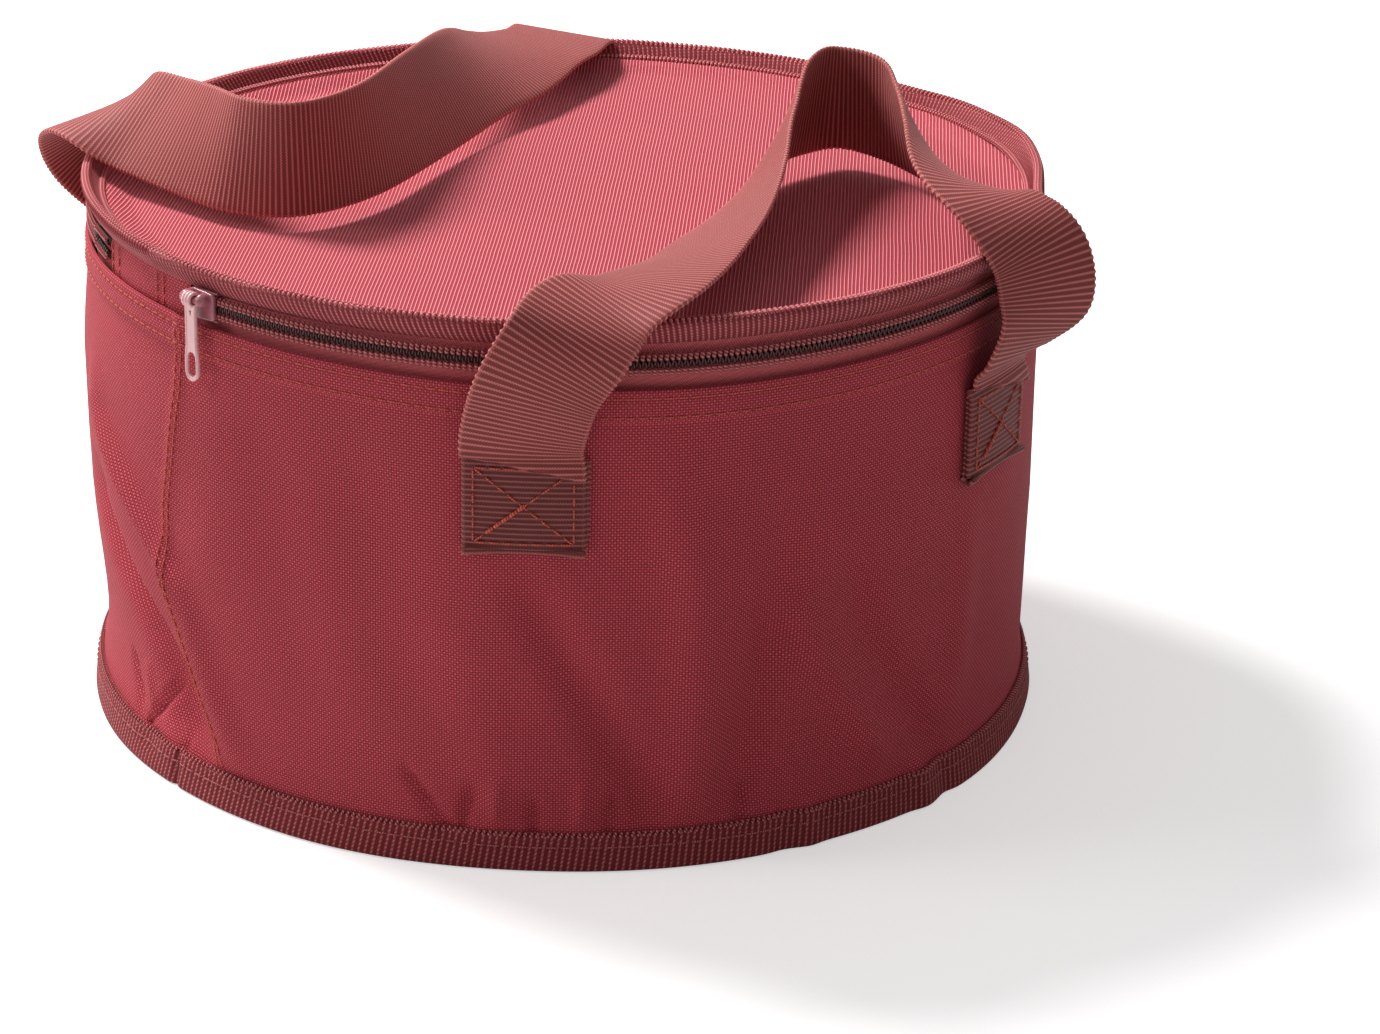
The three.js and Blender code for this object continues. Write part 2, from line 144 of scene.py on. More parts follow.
BACK_DRAPE = (
    (0.533, 0.871, 0.000, 148, 0), (0.540, 0.879, 0.030, 148, 0),
    (0.561, 0.902, 0.090, 148, 0), (0.578, 0.910, 0.164, 146, 2),
    (0.570, 0.892, 0.245, 138, 3), (0.530, 0.846, 0.284, 128, 4),
    (0.440, 0.762, 0.296, 116, 6), (0.338, 0.693, 0.306, 112, 12),
    (0.208, 0.590, 0.322, 114, 28), (0.058, 0.486, 0.341, 118, 48),
    (-0.160, 0.314, 0.349, 121, 65), (-0.426, 0.111, 0.358, 107, 80),
    (-0.614, 0.056, 0.360, 57, 85), (-0.704, 0.156, 0.357, 27, 76),
    (-0.722, 0.313, 0.353, -3, 61), (-0.738, 0.456, 0.350, -20, 44),
    (-0.772, 0.586, 0.352, -18, 24), (-0.762, 0.707, 0.304, 2, 8),
    (-0.703, 0.813, 0.216, 22, 2), (-0.609, 0.876, 0.112, 29, 0),
    (-0.542, 0.878, 0.038, 32, 0), (-0.527, 0.871, 0.000, 32, 0),
)


# Camera of the photograph

CAMERA_PLACE = (-574.05, -883.96, 475.47)
CAMERA_RIGHT = (0.82391, -0.56633, 0.02102)
CAMERA_UP = (0.19753, 0.32174, 0.92600)
SENSOR_WIDTH = 36.0
PHOTO_WIDTH = 1380
FOCAL_PIXELS = 3856.0


def add_object(name, data):
    made = bpy.data.objects.new(name, data)
    bpy.context.scene.collection.objects.link(made)
    return made


def add_camera():
    """The photograph's view, fitted to the rims of the bag."""
    data = bpy.data.cameras.new("camera")
    data.sensor_fit = "HORIZONTAL"
    data.sensor_width = SENSOR_WIDTH
    data.lens = FOCAL_PIXELS * SENSOR_WIDTH / PHOTO_WIDTH
    camera = add_object("camera", data)
    right = Vector(CAMERA_RIGHT).normalized()
    up = Vector(CAMERA_UP).normalized()
    turn = Matrix((right, up, right.cross(up))).transposed()
    camera.matrix_world = Matrix.Translation(Vector(CAMERA_PLACE) * MM) @ turn.to_4x4()
    bpy.context.scene.camera = camera


add_camera()


# Small mathematics

def smooth(value, start, end):
    """0 before start, 1 after end, and smooth between."""
    t = np.clip((np.asarray(value, float) - start) / (end - start), 0, 1)
    return t * t * (3 - 2 * t)


def polar(radius, angle, height):
    turn = np.radians(angle)
    return np.stack(np.broadcast_arrays(radius * np.cos(turn), radius * np.sin(turn), height), -1)


def unit(vectors):
    return vectors / np.linalg.norm(vectors, axis=-1, keepdims=True)


def around(angle, centre, width):
    """A soft bump of height 1 round one angle of the bag."""
    away = (np.asarray(angle, float) - centre + 180) % 360 - 180
    return np.exp(-((away / width) ** 2))


def bumps(angle, table):
    """Sum of soft bumps from rows of (angle, height, width)."""
    return sum(rise * around(angle, centre, width) for centre, rise, width in table)


def looked_up(value, table):
    """Value from rows of (place, value), straight between them."""
    places, values = zip(*table)
    return np.interp(value, places, values)


def periodic(angle, table):
    """Value at an angle from (angle, value) rows, smooth round the whole bag."""
    places, values = np.array(table, float).T
    fine = np.arange(0, 360, 1.0)
    line = np.interp(fine, places, values, period=360)
    kernel = np.hanning(17)
    kernel /= kernel.sum()
    wide = np.concatenate([line[-8:], line, line[:8]])
    line = np.convolve(wide, kernel, "valid")
    return np.interp(np.asarray(angle, float) % 360, fine, line, period=360)


def run_length(points):
    """Length along the last but one axis, from 0."""
    steps = np.linalg.norm(np.diff(points, axis=-2), axis=-1)
    start = np.zeros(steps.shape[:-1] + (1,))
    return np.concatenate([start, np.cumsum(steps, -1)], -1)


def sampled(lengths, place, rows):
    """Rows of three values at these lengths of a line whose rows lie at these places."""
    return np.stack([np.interp(lengths, place, rows[:, k]) for k in range(3)], -1)


# Meshes

def link(mesh, name, material):
    """A smooth object of a mesh and its material."""
    piece = add_object(name, mesh)
    mesh.materials.append(material)
    mesh.polygons.foreach_set("use_smooth", [True] * len(mesh.polygons))
    return piece


def attach(piece, body, node=None):
    """Moves a piece with a body. It stands for the node, or is an extra where none is named."""
    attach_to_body(piece, body)
    if node:
        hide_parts(node)


def mesh_from(name, points, quads, weave, material, columns=0):
    """Mesh of quads. weave holds each face corner's place on the flat cloth, in mm.
    columns closes both ends of a tube whose rows have this many points."""
    faces = quads.tolist()
    places = weave.reshape(-1, 2)
    if columns:
        last = len(points) - 1
        faces += [list(range(columns)), list(range(last, last - columns, -1))]
        places = np.concatenate([places, np.tile(places[:1], (2 * columns, 1))])
    mesh = bpy.data.meshes.new(name)
    mesh.from_pydata((points * MM).tolist(), [], faces)
    layer = mesh.uv_layers.new(name="weave")
    layer.data.foreach_set("uv", places.reshape(-1).astype(np.float32))
    mesh.update()
    return link(mesh, name, material)


def grid(name, points, weave, material, ring=False, tube=False):
    """Surface through rows of points. ring joins the last row to the first, tube does
    so with the columns, and weave then has one row or column more than the points.
    A tube that is no ring gets closed ends."""
    rows, columns = points.shape[:2]
    i, j = np.meshgrid(
        np.arange(rows if ring else rows - 1),
        np.arange(columns if tube else columns - 1),
        indexing="ij",
    )
    corners = [(i, j), (i + 1, j), (i + 1, j + 1), (i, j + 1)]
    quads = np.stack([(a % rows) * columns + b % columns for a, b in corners], -1)
    places = np.stack([weave[a, b] for a, b in corners], -2)
    ends = columns if tube and not ring else 0
    return mesh_from(name, points.reshape(-1, 3), quads.reshape(-1, 4), places, material, ends)


def disc(name, points, material):
    """Closed disc from one run of points for each angle, from its middle to its middle,
    where the many points that meet become one."""
    closed = np.concatenate([points, points[:1]])
    piece = grid(name, points, closed[..., :2], material, ring=True)
    shape = bmesh.new()
    shape.from_mesh(piece.data)
    bmesh.ops.remove_doubles(shape, verts=shape.verts, dist=1e-6)
    shape.to_mesh(piece.data)
    shape.free()
    return piece


def ring_cloth(name, profile, material, steps, pitch, span=(SEAM_ANGLE, SEAM_ANGLE + 360)):
    """Closed section swept round the bag. profile(angles) gives radii and heights,
    one row for each angle. pitch fits the weave to a whole turn."""
    whole = span[1] - span[0] >= 360
    angles = np.linspace(*span, steps + 1)
    used = angles[:-1] if whole else angles
    radii, heights = profile(used[:, None])
    points = polar(radii, used[:, None], heights)
    length = np.radians(span[1] - span[0]) * WALL_RADIUS
    length = round(length / pitch) * pitch
    u = np.linspace(0, length, steps + 1)
    closed = np.concatenate([points[0], points[0, :1]])
    v = run_length(closed)
    weave = np.stack(np.meshgrid(u, v, indexing="ij"), -1)
    return grid(name, points, weave, material, ring=whole, tube=True)


def both_sides(radii, heights, thickness):
    """Section of an upright strip: radii and heights up its outside and down its inside."""
    half = thickness / 2
    radii = np.concatenate([radii + half, radii[:, ::-1] - half], 1)
    return radii, np.concatenate([heights, heights[:, ::-1]], 1)


def tubes(name, paths, radii, towards, material, sides=6, ends=0):
    """Round threads or wires. paths is count x rings x 3, radii one value a ring, and
    towards is a direction that each ring's first point faces. A single tube is closed
    where ends says its number of sides."""
    count, rings = paths.shape[:2]
    along = unit(np.gradient(paths, axis=1))
    side = unit(np.cross(along, towards))[:, :, None]
    front = np.cross(side[:, :, 0], along)[:, :, None]
    turn = np.radians(np.arange(sides) * 360 / sides)[:, None]
    spread = np.cos(turn) * front + np.sin(turn) * side
    points = paths[:, :, None] + spread * np.asarray(radii)[..., :, None, None]
    n, i, j = np.meshgrid(np.arange(count), np.arange(rings - 1), np.arange(sides), indexing="ij")
    corners = [(i, j), (i, j + 1), (i + 1, j + 1), (i + 1, j)]
    quads = np.stack([(n * rings + a) * sides + b % sides for a, b in corners], -1)
    place = run_length(paths)
    weave = np.stack([np.stack([place[n, a], b / sides], -1) for a, b in corners], -2)
    return mesh_from(name, points.reshape(-1, 3), quads.reshape(-1, 4), weave, material, ends)


STITCH_RISE = np.array([-0.6, 0.35, 0.75, 0.75, 0.35, -0.6])
STITCH_WIDTH = np.array([0.45, 0.9, 1.0, 1.0, 0.9, 0.45])
STITCH_PLACE = np.array([0.0, 0.1, 0.35, 0.65, 0.9, 1.0])


def stitches(name, starts, ends, normals, radius, material):
    """Short threads that come out of the cloth, lie on it and go back in."""
    middle = starts[:, None] + (ends - starts)[:, None] * STITCH_PLACE[None, :, None]
    paths = middle + normals[:, None] * (STITCH_RISE * radius)[None, :, None]
    return tubes(name, paths, STITCH_WIDTH * radius, normals[:, None], material)


def stitch_line(points, normals, length, gap):
    """Cuts a line on the cloth into stitches: starts, ends and normals."""
    place = run_length(points)
    count = max(int(place[-1] / (length + gap)), 1)
    pitch = place[-1] / count
    starts = (np.arange(count) + gap / (length + gap) / 2) * pitch
    ends = starts + pitch * length / (length + gap)
    directions = unit(sampled((starts + ends) / 2, place, normals))
    return sampled(starts, place, points), sampled(ends, place, points), directions


def join_lines(lines):
    """Several lines' stitches as one set of starts, ends and normals."""
    return [np.concatenate(part) for part in zip(*lines)]


# Materials

def srgb(red, green, blue):
    values = np.array([red, green, blue]) / 255
    low = values / 12.92
    high = ((values + 0.055) / 1.055) ** 2.4
    return (*np.where(values <= 0.04045, low, high).tolist(), 1.0)


class Nodes:
    """Short calls for the nodes of a material or of the world."""

    def __init__(self, owner):
        self.owner = owner
        owner.use_nodes = True
        self.tree = owner.node_tree
        self.shader = self.tree.nodes.get("Principled BSDF")

    def add(self, kind, inputs=None, **settings):
        """A node of this kind, with values or links for its inputs."""
        made = self.tree.nodes.new("ShaderNode" + kind)
        for key, value in settings.items():
            setattr(made, key, value)
        for key, value in (inputs or {}).items():
            self.put(made.inputs[key], value)
        return made

    def put(self, socket, value):
        if isinstance(value, bpy.types.NodeSocket):
            self.tree.links.new(value, socket)
        else:
            socket.default_value = value

    def maths(self, operation, first, second=0.0, clamp=False):
        made = self.add("Math", {0: first, 1: second}, operation=operation, use_clamp=clamp)
        return made.outputs[0]

    def plus(self, first, second):
        return self.maths("ADD", first, second)

    def times(self, first, second):
        return self.maths("MULTIPLY", first, second)

    def sine(self, place, pitch):
        return self.maths("SINE", self.times(place, 2 * math.pi / pitch))

    def crests(self, place, pitch, low=0.0):
        """Upper halves of a sine as rounded crests with flat gaps, from low up to 1."""
        return self.ranged(self.sine(place, pitch), low, 1.0)

    def weave_place(self):
        split = self.add("SeparateXYZ", {0: self.add("UVMap", uv_map="weave").outputs[0]})
        return split.outputs[0], split.outputs[1]

    def object_place(self):
        return self.add("TexCoord").outputs["Object"]

    def noise(self, place, scale, detail=2.0):
        made = self.add("TexNoise", {"Vector": place, "Scale": scale, "Detail": detail})
        return made.outputs["Fac"]

    def blend(self, factor, first, second):
        made = self.add("Mix", {0: factor, 6: first, 7: second}, data_type="RGBA")
        return made.outputs[2]

    def shade(self, colour, amount):
        """Colour made lighter or darker by a factor round 1."""
        grey = self.add("CombineXYZ", {0: amount, 1: amount, 2: amount}).outputs[0]
        made = self.add("VectorMath", {0: colour, 1: grey}, operation="MULTIPLY")
        return made.outputs[0]

    def ranged(self, value, low, high):
        made = self.add("MapRange", {0: value, 3: low, 4: high})
        return made.outputs[0]

    def bump(self, height, depth):
        return self.add("Bump", {"Distance": depth * MM, "Height": height}).outputs[0]

    def finish(self, colour, roughness, normal, **constants):
        self.put(self.shader.inputs["Base Color"], colour)
        self.put(self.shader.inputs["Roughness"], roughness)
        if normal is not None:
            self.put(self.shader.inputs["Normal"], normal)
        for key, value in constants.items():
            self.shader.inputs[key.replace("_", " ")].default_value = value
        return self.owner


def painted(name):
    """Nodes of a new material."""
    return Nodes(bpy.data.materials.new(name))


def cloth_finish(
    nodes, height, shaded_valley, lit_crown, depth, patchy=0.08, sheen=0.12, rough=0.7, tint=1.0
):
    """Cloth from a thread height of 0 to 1, with painted shade between the threads and painted
    light on their tops.
    """
    place = nodes.object_place()
    tone = nodes.ranged(nodes.noise(place, 22.0, 4.0), 1 - patchy, 1 + patchy)
    fibre = nodes.ranged(nodes.noise(place, 1500.0), 0.92, 1.08)
    # Colour runs from a painted shade in the hollows to a painted light on the thread tops.
    colour = nodes.blend(height, srgb(*shaded_valley), srgb(*lit_crown))
    colour = nodes.shade(colour, nodes.times(nodes.times(tone, fibre), tint))
    fuzz = nodes.times(nodes.noise(place, 2500.0, 1.0), 0.25)
    roughness = nodes.ranged(height, rough + 0.12, rough - 0.05)
    return nodes.finish(
        colour,
        roughness,
        nodes.bump(nodes.plus(height, fuzz), depth),
        Sheen_Weight=sheen,
        Sheen_Roughness=0.4,
        Sheen_Tint=srgb(255, 175, 175),
        Specular_IOR_Level=0.2,
    )


def plain_weave(name, shaded_valley, lit_crown, thread, depth):
    """Over and under threads: each crossing shows as one small cushion."""
    nodes = painted(name)
    u, v = nodes.weave_place()
    cross = nodes.times(nodes.sine(u, 2 * thread[0]), nodes.sine(v, 2 * thread[1]))
    cushion = nodes.times(nodes.maths("ABSOLUTE", cross), 0.7)
    height = nodes.maths("ADD", nodes.plus(cushion, nodes.times(cross, 0.3)), 0.12, clamp=True)
    return cloth_finish(nodes, height, shaded_valley, lit_crown, depth, patchy=0.12, sheen=0.05)


def rib_cloth(name, shaded_valley, lit_crown):
    """Lid cloth: straight ribs along the bag's depth, with fine threads across them."""
    nodes = painted(name)
    x, y, _ = nodes.add("SeparateXYZ", {0: nodes.object_place()}).outputs

    def place_towards(east, north):
        return nodes.plus(nodes.times(x, east / MM), nodes.times(y, north / MM))

    turn = math.radians(RIB_DIRECTION)
    across = place_towards(math.sin(turn), -math.cos(turn))
    along = place_towards(math.cos(turn), math.sin(turn))
    drift = nodes.times(nodes.noise(nodes.object_place(), 30.0), 0.6)
    rib = nodes.crests(nodes.plus(across, drift), RIB_PITCH)
    rib = nodes.maths("POWER", nodes.ranged(rib, 0.1, 1.0), 1.1)
    grain = nodes.times(nodes.sine(along, GRAIN_PITCH), 0.10)
    height = nodes.maths("ADD", rib, grain, clamp=True)
    return cloth_finish(nodes, height, shaded_valley, lit_crown, depth=0.34, patchy=0.05, sheen=0.2)


def twill_tape(name, shaded_valley, lit_crown, pitch, lean, depth):
    """Narrow tape of ribs that lean as they cross it, each one a row of beads."""
    nodes = painted(name)
    u, v = nodes.weave_place()
    rib = nodes.crests(nodes.plus(u, nodes.times(v, lean)), pitch)
    bead = nodes.crests(nodes.plus(v, nodes.times(u, 0.5)), pitch * 0.62, low=0.3)
    return cloth_finish(nodes, nodes.times(rib, bead), shaded_valley, lit_crown, depth)


def ribbed_webbing(name, shaded_valley, lit_crown):
    """Webbing: ribs straight across, small beads along each rib, light selvedges, and painted
    shade on the sewn ends below their lip."""
    nodes = painted(name)
    u, v = nodes.weave_place()
    rib = nodes.crests(nodes.plus(u, WEB_PITCH / 4), WEB_PITCH)
    phase = nodes.times(nodes.maths("SIGN", nodes.sine(u, 2 * WEB_PITCH)), BEAD_PITCH / 4)
    bead = nodes.crests(nodes.plus(v, phase), BEAD_PITCH)
    height = nodes.plus(nodes.times(rib, 0.3), nodes.times(nodes.times(rib, bead), 0.5))
    height = nodes.plus(height, 0.1)
    inside = WEB_WIDTH / 2 - SELVEDGE
    edge = nodes.maths("GREATER_THAN", nodes.maths("ABSOLUTE", v), inside)
    height = nodes.maths("ADD", height, nodes.times(edge, 0.12), clamp=True)
    # Painted shade: the sewn ends below the slanted lip are drawn darker by this factor.
    place = nodes.add("SeparateXYZ", {0: nodes.object_place()})
    side = nodes.maths("SIGN", nodes.times(place.outputs[0], place.outputs[1]))
    level = nodes.plus(place.outputs[2], nodes.times(nodes.times(v, side), LIP_SLOPE * MM))
    shaded_below_lip = nodes.maths("LESS_THAN", level, (LIP_HEIGHT + 0.1) * MM)
    dark = nodes.maths("SUBTRACT", 1.0, nodes.times(shaded_below_lip, 0.45))
    return cloth_finish(nodes, height, shaded_valley, lit_crown, depth=0.22, sheen=0.22, rough=0.5, tint=dark)


def thread(name, light, dark):
    """Twisted thread, with painted light on the twists and painted shade between them."""
    nodes = painted(name)
    u, v = nodes.weave_place()
    twist = nodes.crests(nodes.plus(nodes.times(u, 1 / TWIST_PITCH), v), 1.0)
    return cloth_finish(nodes, twist, dark, light, depth=0.08, patchy=0.12, sheen=0.2, rough=0.6)


def nylon(name):
    """Dark satin plastic."""
    nodes = painted(name)
    place = nodes.object_place()
    tone = nodes.noise(place, 90.0, 3.0)
    colour = nodes.blend(tone, srgb(48, 20, 17), srgb(88, 43, 37))
    roughness = nodes.ranged(nodes.noise(place, 900.0), 0.25, 0.4)
    normal = nodes.bump(nodes.noise(place, 3000.0), depth=0.02)
    return nodes.finish(colour, roughness, normal, Specular_IOR_Level=0.5)


def enamel(name, light, dark):
    """Painted zinc: smooth lacquer, lighter and darker at random."""
    nodes = painted(name)
    place = nodes.object_place()
    tone = nodes.noise(place, 300.0, 3.0)
    colour = nodes.blend(tone, srgb(*dark), srgb(*light))
    roughness = nodes.ranged(nodes.noise(place, 800.0), 0.26, 0.40)
    normal = nodes.bump(nodes.noise(place, 700.0), depth=0.03)
    return nodes.finish(colour, roughness, normal, Coat_Weight=0.4, Coat_Roughness=0.2)


WALL_THREAD = (0.72, 0.74)
# Each cloth's first colour is a painted shade for the hollows between its threads, the second a
# painted light for their tops.
wall_cloth = plain_weave("wall_cloth", (86, 9, 19), (246, 97, 110), WALL_THREAD, depth=0.26)
lid_cloth = rib_cloth("lid_cloth", (168, 16, 34), (255, 164, 175))
rim_tape = twill_tape("rim_tape", (126, 44, 50), (250, 152, 152), RIM_PITCH, 0.2, 0.28)
foot_tape = twill_tape("foot_tape", (106, 34, 38), (232, 122, 120), FOOT_PITCH, 0.15, 0.34)
zip_tape = twill_tape("zip_tape", (192, 82, 88), (250, 150, 154), TAPE_PITCH, 1.0, 0.1)
webbing = ribbed_webbing("webbing", (98, 20, 22), (255, 152, 145))
# Thread colours: the first is a painted light on the twists, the second a painted shade between
# them.
orange_thread = thread("orange_thread", (236, 124, 100), (176, 70, 58))
pink_thread = thread("pink_thread", (248, 158, 160), (186, 92, 96))
dusky_thread = thread("dusky_thread", (222, 134, 134), (134, 60, 62))
coil_nylon = nylon("coil_nylon")
tab_paint = enamel("tab_paint", (244, 200, 200), (226, 164, 166))
slider_paint = enamel("slider_paint", (190, 110, 120), (132, 66, 78))


# Wall: a barrel that the photograph shows slack on the hinge side

# Heights of the hem's edge and of the chain by angle
HEM_LINE = (
    (0, 137.2), (40, 138.2), (90, 138.4), (140, 138.6), (180, 139.3), (198, 138.6),
    (211, 137.7), (230, 136.2), (252, 135.4), (277, 136.2), (300, 136.4), (330, 136.6),
)
ZIP_LINE = (
    (0, 143.2), (60, 144.2), (120, 144.4), (180, 144.4), (196, 144.3), (209, 143.8),
    (230, 142.8), (252, 142.2), (277, 142.8), (300, 143.0), (330, 143.0),
)
# Outer radius as (height, radius), on the hinge side and elsewhere
SLACK_SIDE = (
    (2, 135.2), (10, 134.9), (18, 134.3), (26, 133.9), (34, 134.3), (42, 135.0), (50, 135.8),
    (58, 136.5), (66, 137.0), (82, 137.5), (106, 137.9), (122, 137.3), (132, 136.6), (150, 136.0),
)
FIRM_SIDE = ((0, 135.0), (12, 135.0), (26, 135.2), (66, 135.8), (98, 135.4), (150, 135.2))

# Upright seam as (height, angle)
SEAM_LINE = (
    (0, 194.5), (14, 193.0), (32, 190.4), (48, 187.8), (60, 186.0), (71, 185.1), (84, 185.4),
    (103, 187.0), (118, 188.1), (139, 188.4),
)

# Soft folds: the line they follow as (angle, height) from its top, how far they stand
# out, and width
FOLDS = (
    (((166.0, 98), (180.8, 73), (186.0, 63), (189.0, 51), (191.8, 34), (195.0, 17)), 3.9, 7.0),
    (((192.0, 84), (193.0, 63), (195.5, 40), (198.0, 20)), 1.3, 14.0),
    (((163.0, 70), (170.5, 56), (178.0, 44), (182.3, 34), (185.5, 22), (188.0, 12)), -5.0, 8.5),
    (((200.5, 120), (203.0, 84), (207.0, 40)), -1.1, 10.0),
    (((182.3, 25), (180.4, 18), (177.6, 10)), -2.2, 1.4),
    (((172.0, 26), (176.0, 11)), -1.6, 2.0),
    (((176.6, 26), (179.4, 11)), 1.0, 1.8),
    (((214.0, 110), (218.0, 50)), -1.4, 12.0),
    (((225.0, 70), (227.0, 45), (231.0, 20)), 1.6, 10.0),
    (((233.0, 82), (235.6, 66), (239.9, 49), (244.5, 28), (247.5, 12)), -3.8, 7.0),
    (((249.5, 106), (251.5, 77), (252.3, 54), (251.8, 31), (250.5, 10)), 4.3, 8.0),
    (((262.0, 90), (261.0, 63), (259.5, 47), (257.5, 22)), -3.6, 6.5),
    (((262.0, 76), (266.5, 55), (271.5, 37), (276.5, 18)), 3.3, 6.5),
    (((272.0, 76), (274.5, 55), (280.0, 37), (285.0, 18)), -2.9, 6.5),
    (((291.0, 76), (290.0, 26)), 1.5, 7.0),
    (((219.0, 25), (223.8, 10)), -2.4, 2.0),
    (((226.6, 22), (225.6, 9)), -2.0, 1.8),
    (((229.6, 24), (229.4, 9)), 2.0, 2.4),
    (((233.4, 20), (233.8, 9)), -2.2, 1.7),
    (((239.2, 24), (239.0, 9)), 1.9, 2.2),
    (((242.6, 20), (242.0, 9)), -2.2, 1.8),
    (((258.0, 20), (257.4, 9)), -2.0, 1.8),
    (((30.0, 110), (24.0, 40)), 1.6, 12.0),
    (((95.0, 116), (98.0, 50)), -1.5, 13.0),
    (((140.0, 100), (134.0, 40)), -1.5, 11.0),
    (((332.0, 110), (326.0, 50)), -1.5, 11.0),
)


def hem_line(angle):
    return periodic(angle, HEM_LINE)


def zip_line(angle):
    return periodic(angle, ZIP_LINE)


def fold_relief(angle, height):
    """How far the soft folds push the wall outwards."""
    total = np.zeros(np.broadcast(angle, height).shape)
    for line, rise, width in FOLDS:
        middle = (line[0][0] + line[-1][0]) / 2
        away = ((np.asarray(angle, float) - middle + 180) % 360 - 180) + middle
        x = np.radians(away) * WALL_RADIUS
        whole = line[-1][1] - line[0][1]
        share = np.clip((height - line[0][1]) / whole, -0.25, 1.25)
        centre = looked_up(height, [(level, place) for place, level in reversed(line)])
        gap = (x - np.radians(centre) * WALL_RADIUS) / width
        ends = smooth(share, -0.25, 0.2) * (1 - smooth(share, 0.8, 1.25))
        total = total + rise * np.exp(-(gap ** 2)) * ends
    return total


def wall_surface(angle, height):
    """Outer radius of the wall cloth below its hem."""
    slack = looked_up(height, SLACK_SIDE)
    firm = looked_up(height, FIRM_SIDE)
    turn = np.asarray(angle, float) % 360
    share = smooth(turn, 128, 150) * (1 - smooth(turn, 190, 214))
    wave = 0.3 * np.sin(np.radians(5 * turn + 40)) * np.sin(np.pi * height / 140)
    return firm + share * (slack - firm) + wave + fold_relief(turn, height)


def topstitch_dent(depth):
    """How far both rows of topstitching draw the cloth in, at a depth below the hem."""
    return sum(0.22 * np.exp(-(((depth - row) / 0.55) ** 2)) for row in TOPSTITCH)


def wall_skin(angle, height):
    """Outer radius with the hem's doubled cloth, the dents of its stitching, and the foot
    inside the folded binding, where only the valleys of the folds run on."""
    depth = hem_line(angle) - height
    doubled = 0.75 * (1 - smooth(depth, HEM_HEIGHT - 0.9, HEM_HEIGHT + 0.5))
    seam = around(angle, seam_path(height), 0.9) * 0.6
    level = 0.45 * (1 - smooth(depth, 2.0, 30.0))
    surface = wall_surface(angle, height)
    surface = surface + level * (HEM_RADIUS - surface)
    held = 1 - smooth(height, *FOOT_HELD)
    inside = FOOT_MIDDLE + foot_shift(angle, height)
    gathered = 0.6 * np.minimum(fold_relief(angle, height), 0)
    surface = surface + held * (inside + gathered - surface)
    surface = surface - 0.8 * np.exp(-(((height - FOOT_GROOVE) / 1.5) ** 2))
    return surface + doubled + seam * (1 - held) - topstitch_dent(depth)


def seam_path(height):
    """Angle of the wall's upright seam at a height."""
    return looked_up(height, SEAM_LINE)


def wall_profile(angles):
    """Up the outside, over the hem's edge and down the inside."""
    top = hem_line(angles)
    upwards = np.concatenate([np.linspace(0, 0.84, 56), np.linspace(0.85, 0.995, 34)])
    heights = WALL_FOOT + (top - WALL_FOOT) * upwards
    outer = wall_skin(angles, heights)
    lip = outer[:, -1:] + np.array([-0.35, -0.9, -1.35])
    lip_heights = top + np.array([0.0, 0.05, -0.35])
    downwards = np.linspace(0.985, 0, 40)
    inner_heights = WALL_FOOT + (top - WALL_FOOT) * downwards
    inner = wall_skin(angles, inner_heights) - WALL_THICKNESS - 0.35 * (downwards > 0.93)
    radii = np.concatenate([outer, lip, inner], 1)
    return radii, np.concatenate([heights, lip_heights, inner_heights], 1)


def wall_panel():
    piece = ring_cloth("wall_shell", wall_profile, wall_cloth, 720, pitch=2 * WALL_THREAD[0])
    attach(piece, "bag", "wall_panel")


def wall_line(angles, heights):
    """Points on the wall's outside and their outward directions."""
    return polar(wall_skin(angles, heights), angles, heights), polar(1.0, angles, 0.0)


def wall_stitching():
    lines = []
    for row in TOPSTITCH:
        angles = np.linspace(0, 360, 1441) + SEAM_ANGLE
        points, normals = wall_line(angles, hem_line(angles) - row)
        lines.append(stitch_line(points, normals, length=2.7, gap=0.7))
    for shift in (-0.35, 0.55):
        heights = np.linspace(11, 135.5, 120)
        points, normals = wall_line(seam_path(heights) + shift, heights)
        lines.append(stitch_line(points, normals, length=2.6, gap=0.8))
    piece = stitches("wall_stitching", *join_lines(lines), radius=0.26, material=orange_thread)
    attach(piece, "bag")


# Base

def base_panel():
    """Cloth disc that lifts a little between its seams."""
    edge_radius = 134.7
    rings = np.linspace(0, edge_radius, 60)
    angles = np.arange(0, 360, 3.0)
    lift = 0.35 * np.sin(np.pi * rings / edge_radius)
    under = np.stack([rings, 0.15 + lift], 1)
    edge = np.array([[edge_radius + 0.25, 0.7], [edge_radius + 0.25, 1.8]])
    over = np.stack([rings[::-1], 2.4 - lift[::-1] * 0.6], 1)
    section = np.concatenate([under, edge, over])
    points = polar(section[None, :, 0], angles[:, None], section[None, :, 1])
    piece = disc("base_cloth", points, wall_cloth)
    attach(piece, "bag", "base_panel")


# Bottom binding

# Radius and height round the folded tape, from its top edge outside
FOOT_SECTION = np.array([
    [136.3, 9.6], [136.9, 10.1], [137.5, 9.7], [137.75, 8.6], [138.15, 6.5], [138.55, 4.4],
    [138.95, 2.4], [139.15, 1.2], [139.0, 0.45], [138.4, 0.05], [137.6, 0.1], [137.0, 0.8],
    [136.7, 2.6], [136.3, 5.0], [135.9, 7.4], [135.8, 8.8],
])
# Its outside alone, from the floor up
FOOT_OUTSIDE = FOOT_SECTION[9:1:-1]
# Kinks of the whole tape and pinches of its top edge as (angle, how far out, width)
FOOT_KINKS = ((283.0, 1.1, 1.8), (287.0, -0.9, 1.5), (266.0, 0.7, 1.4), (262.5, -0.6, 1.6))
FOOT_PINCHES = ((179.5, -0.9, 2.2), (224.0, -0.8, 1.4))


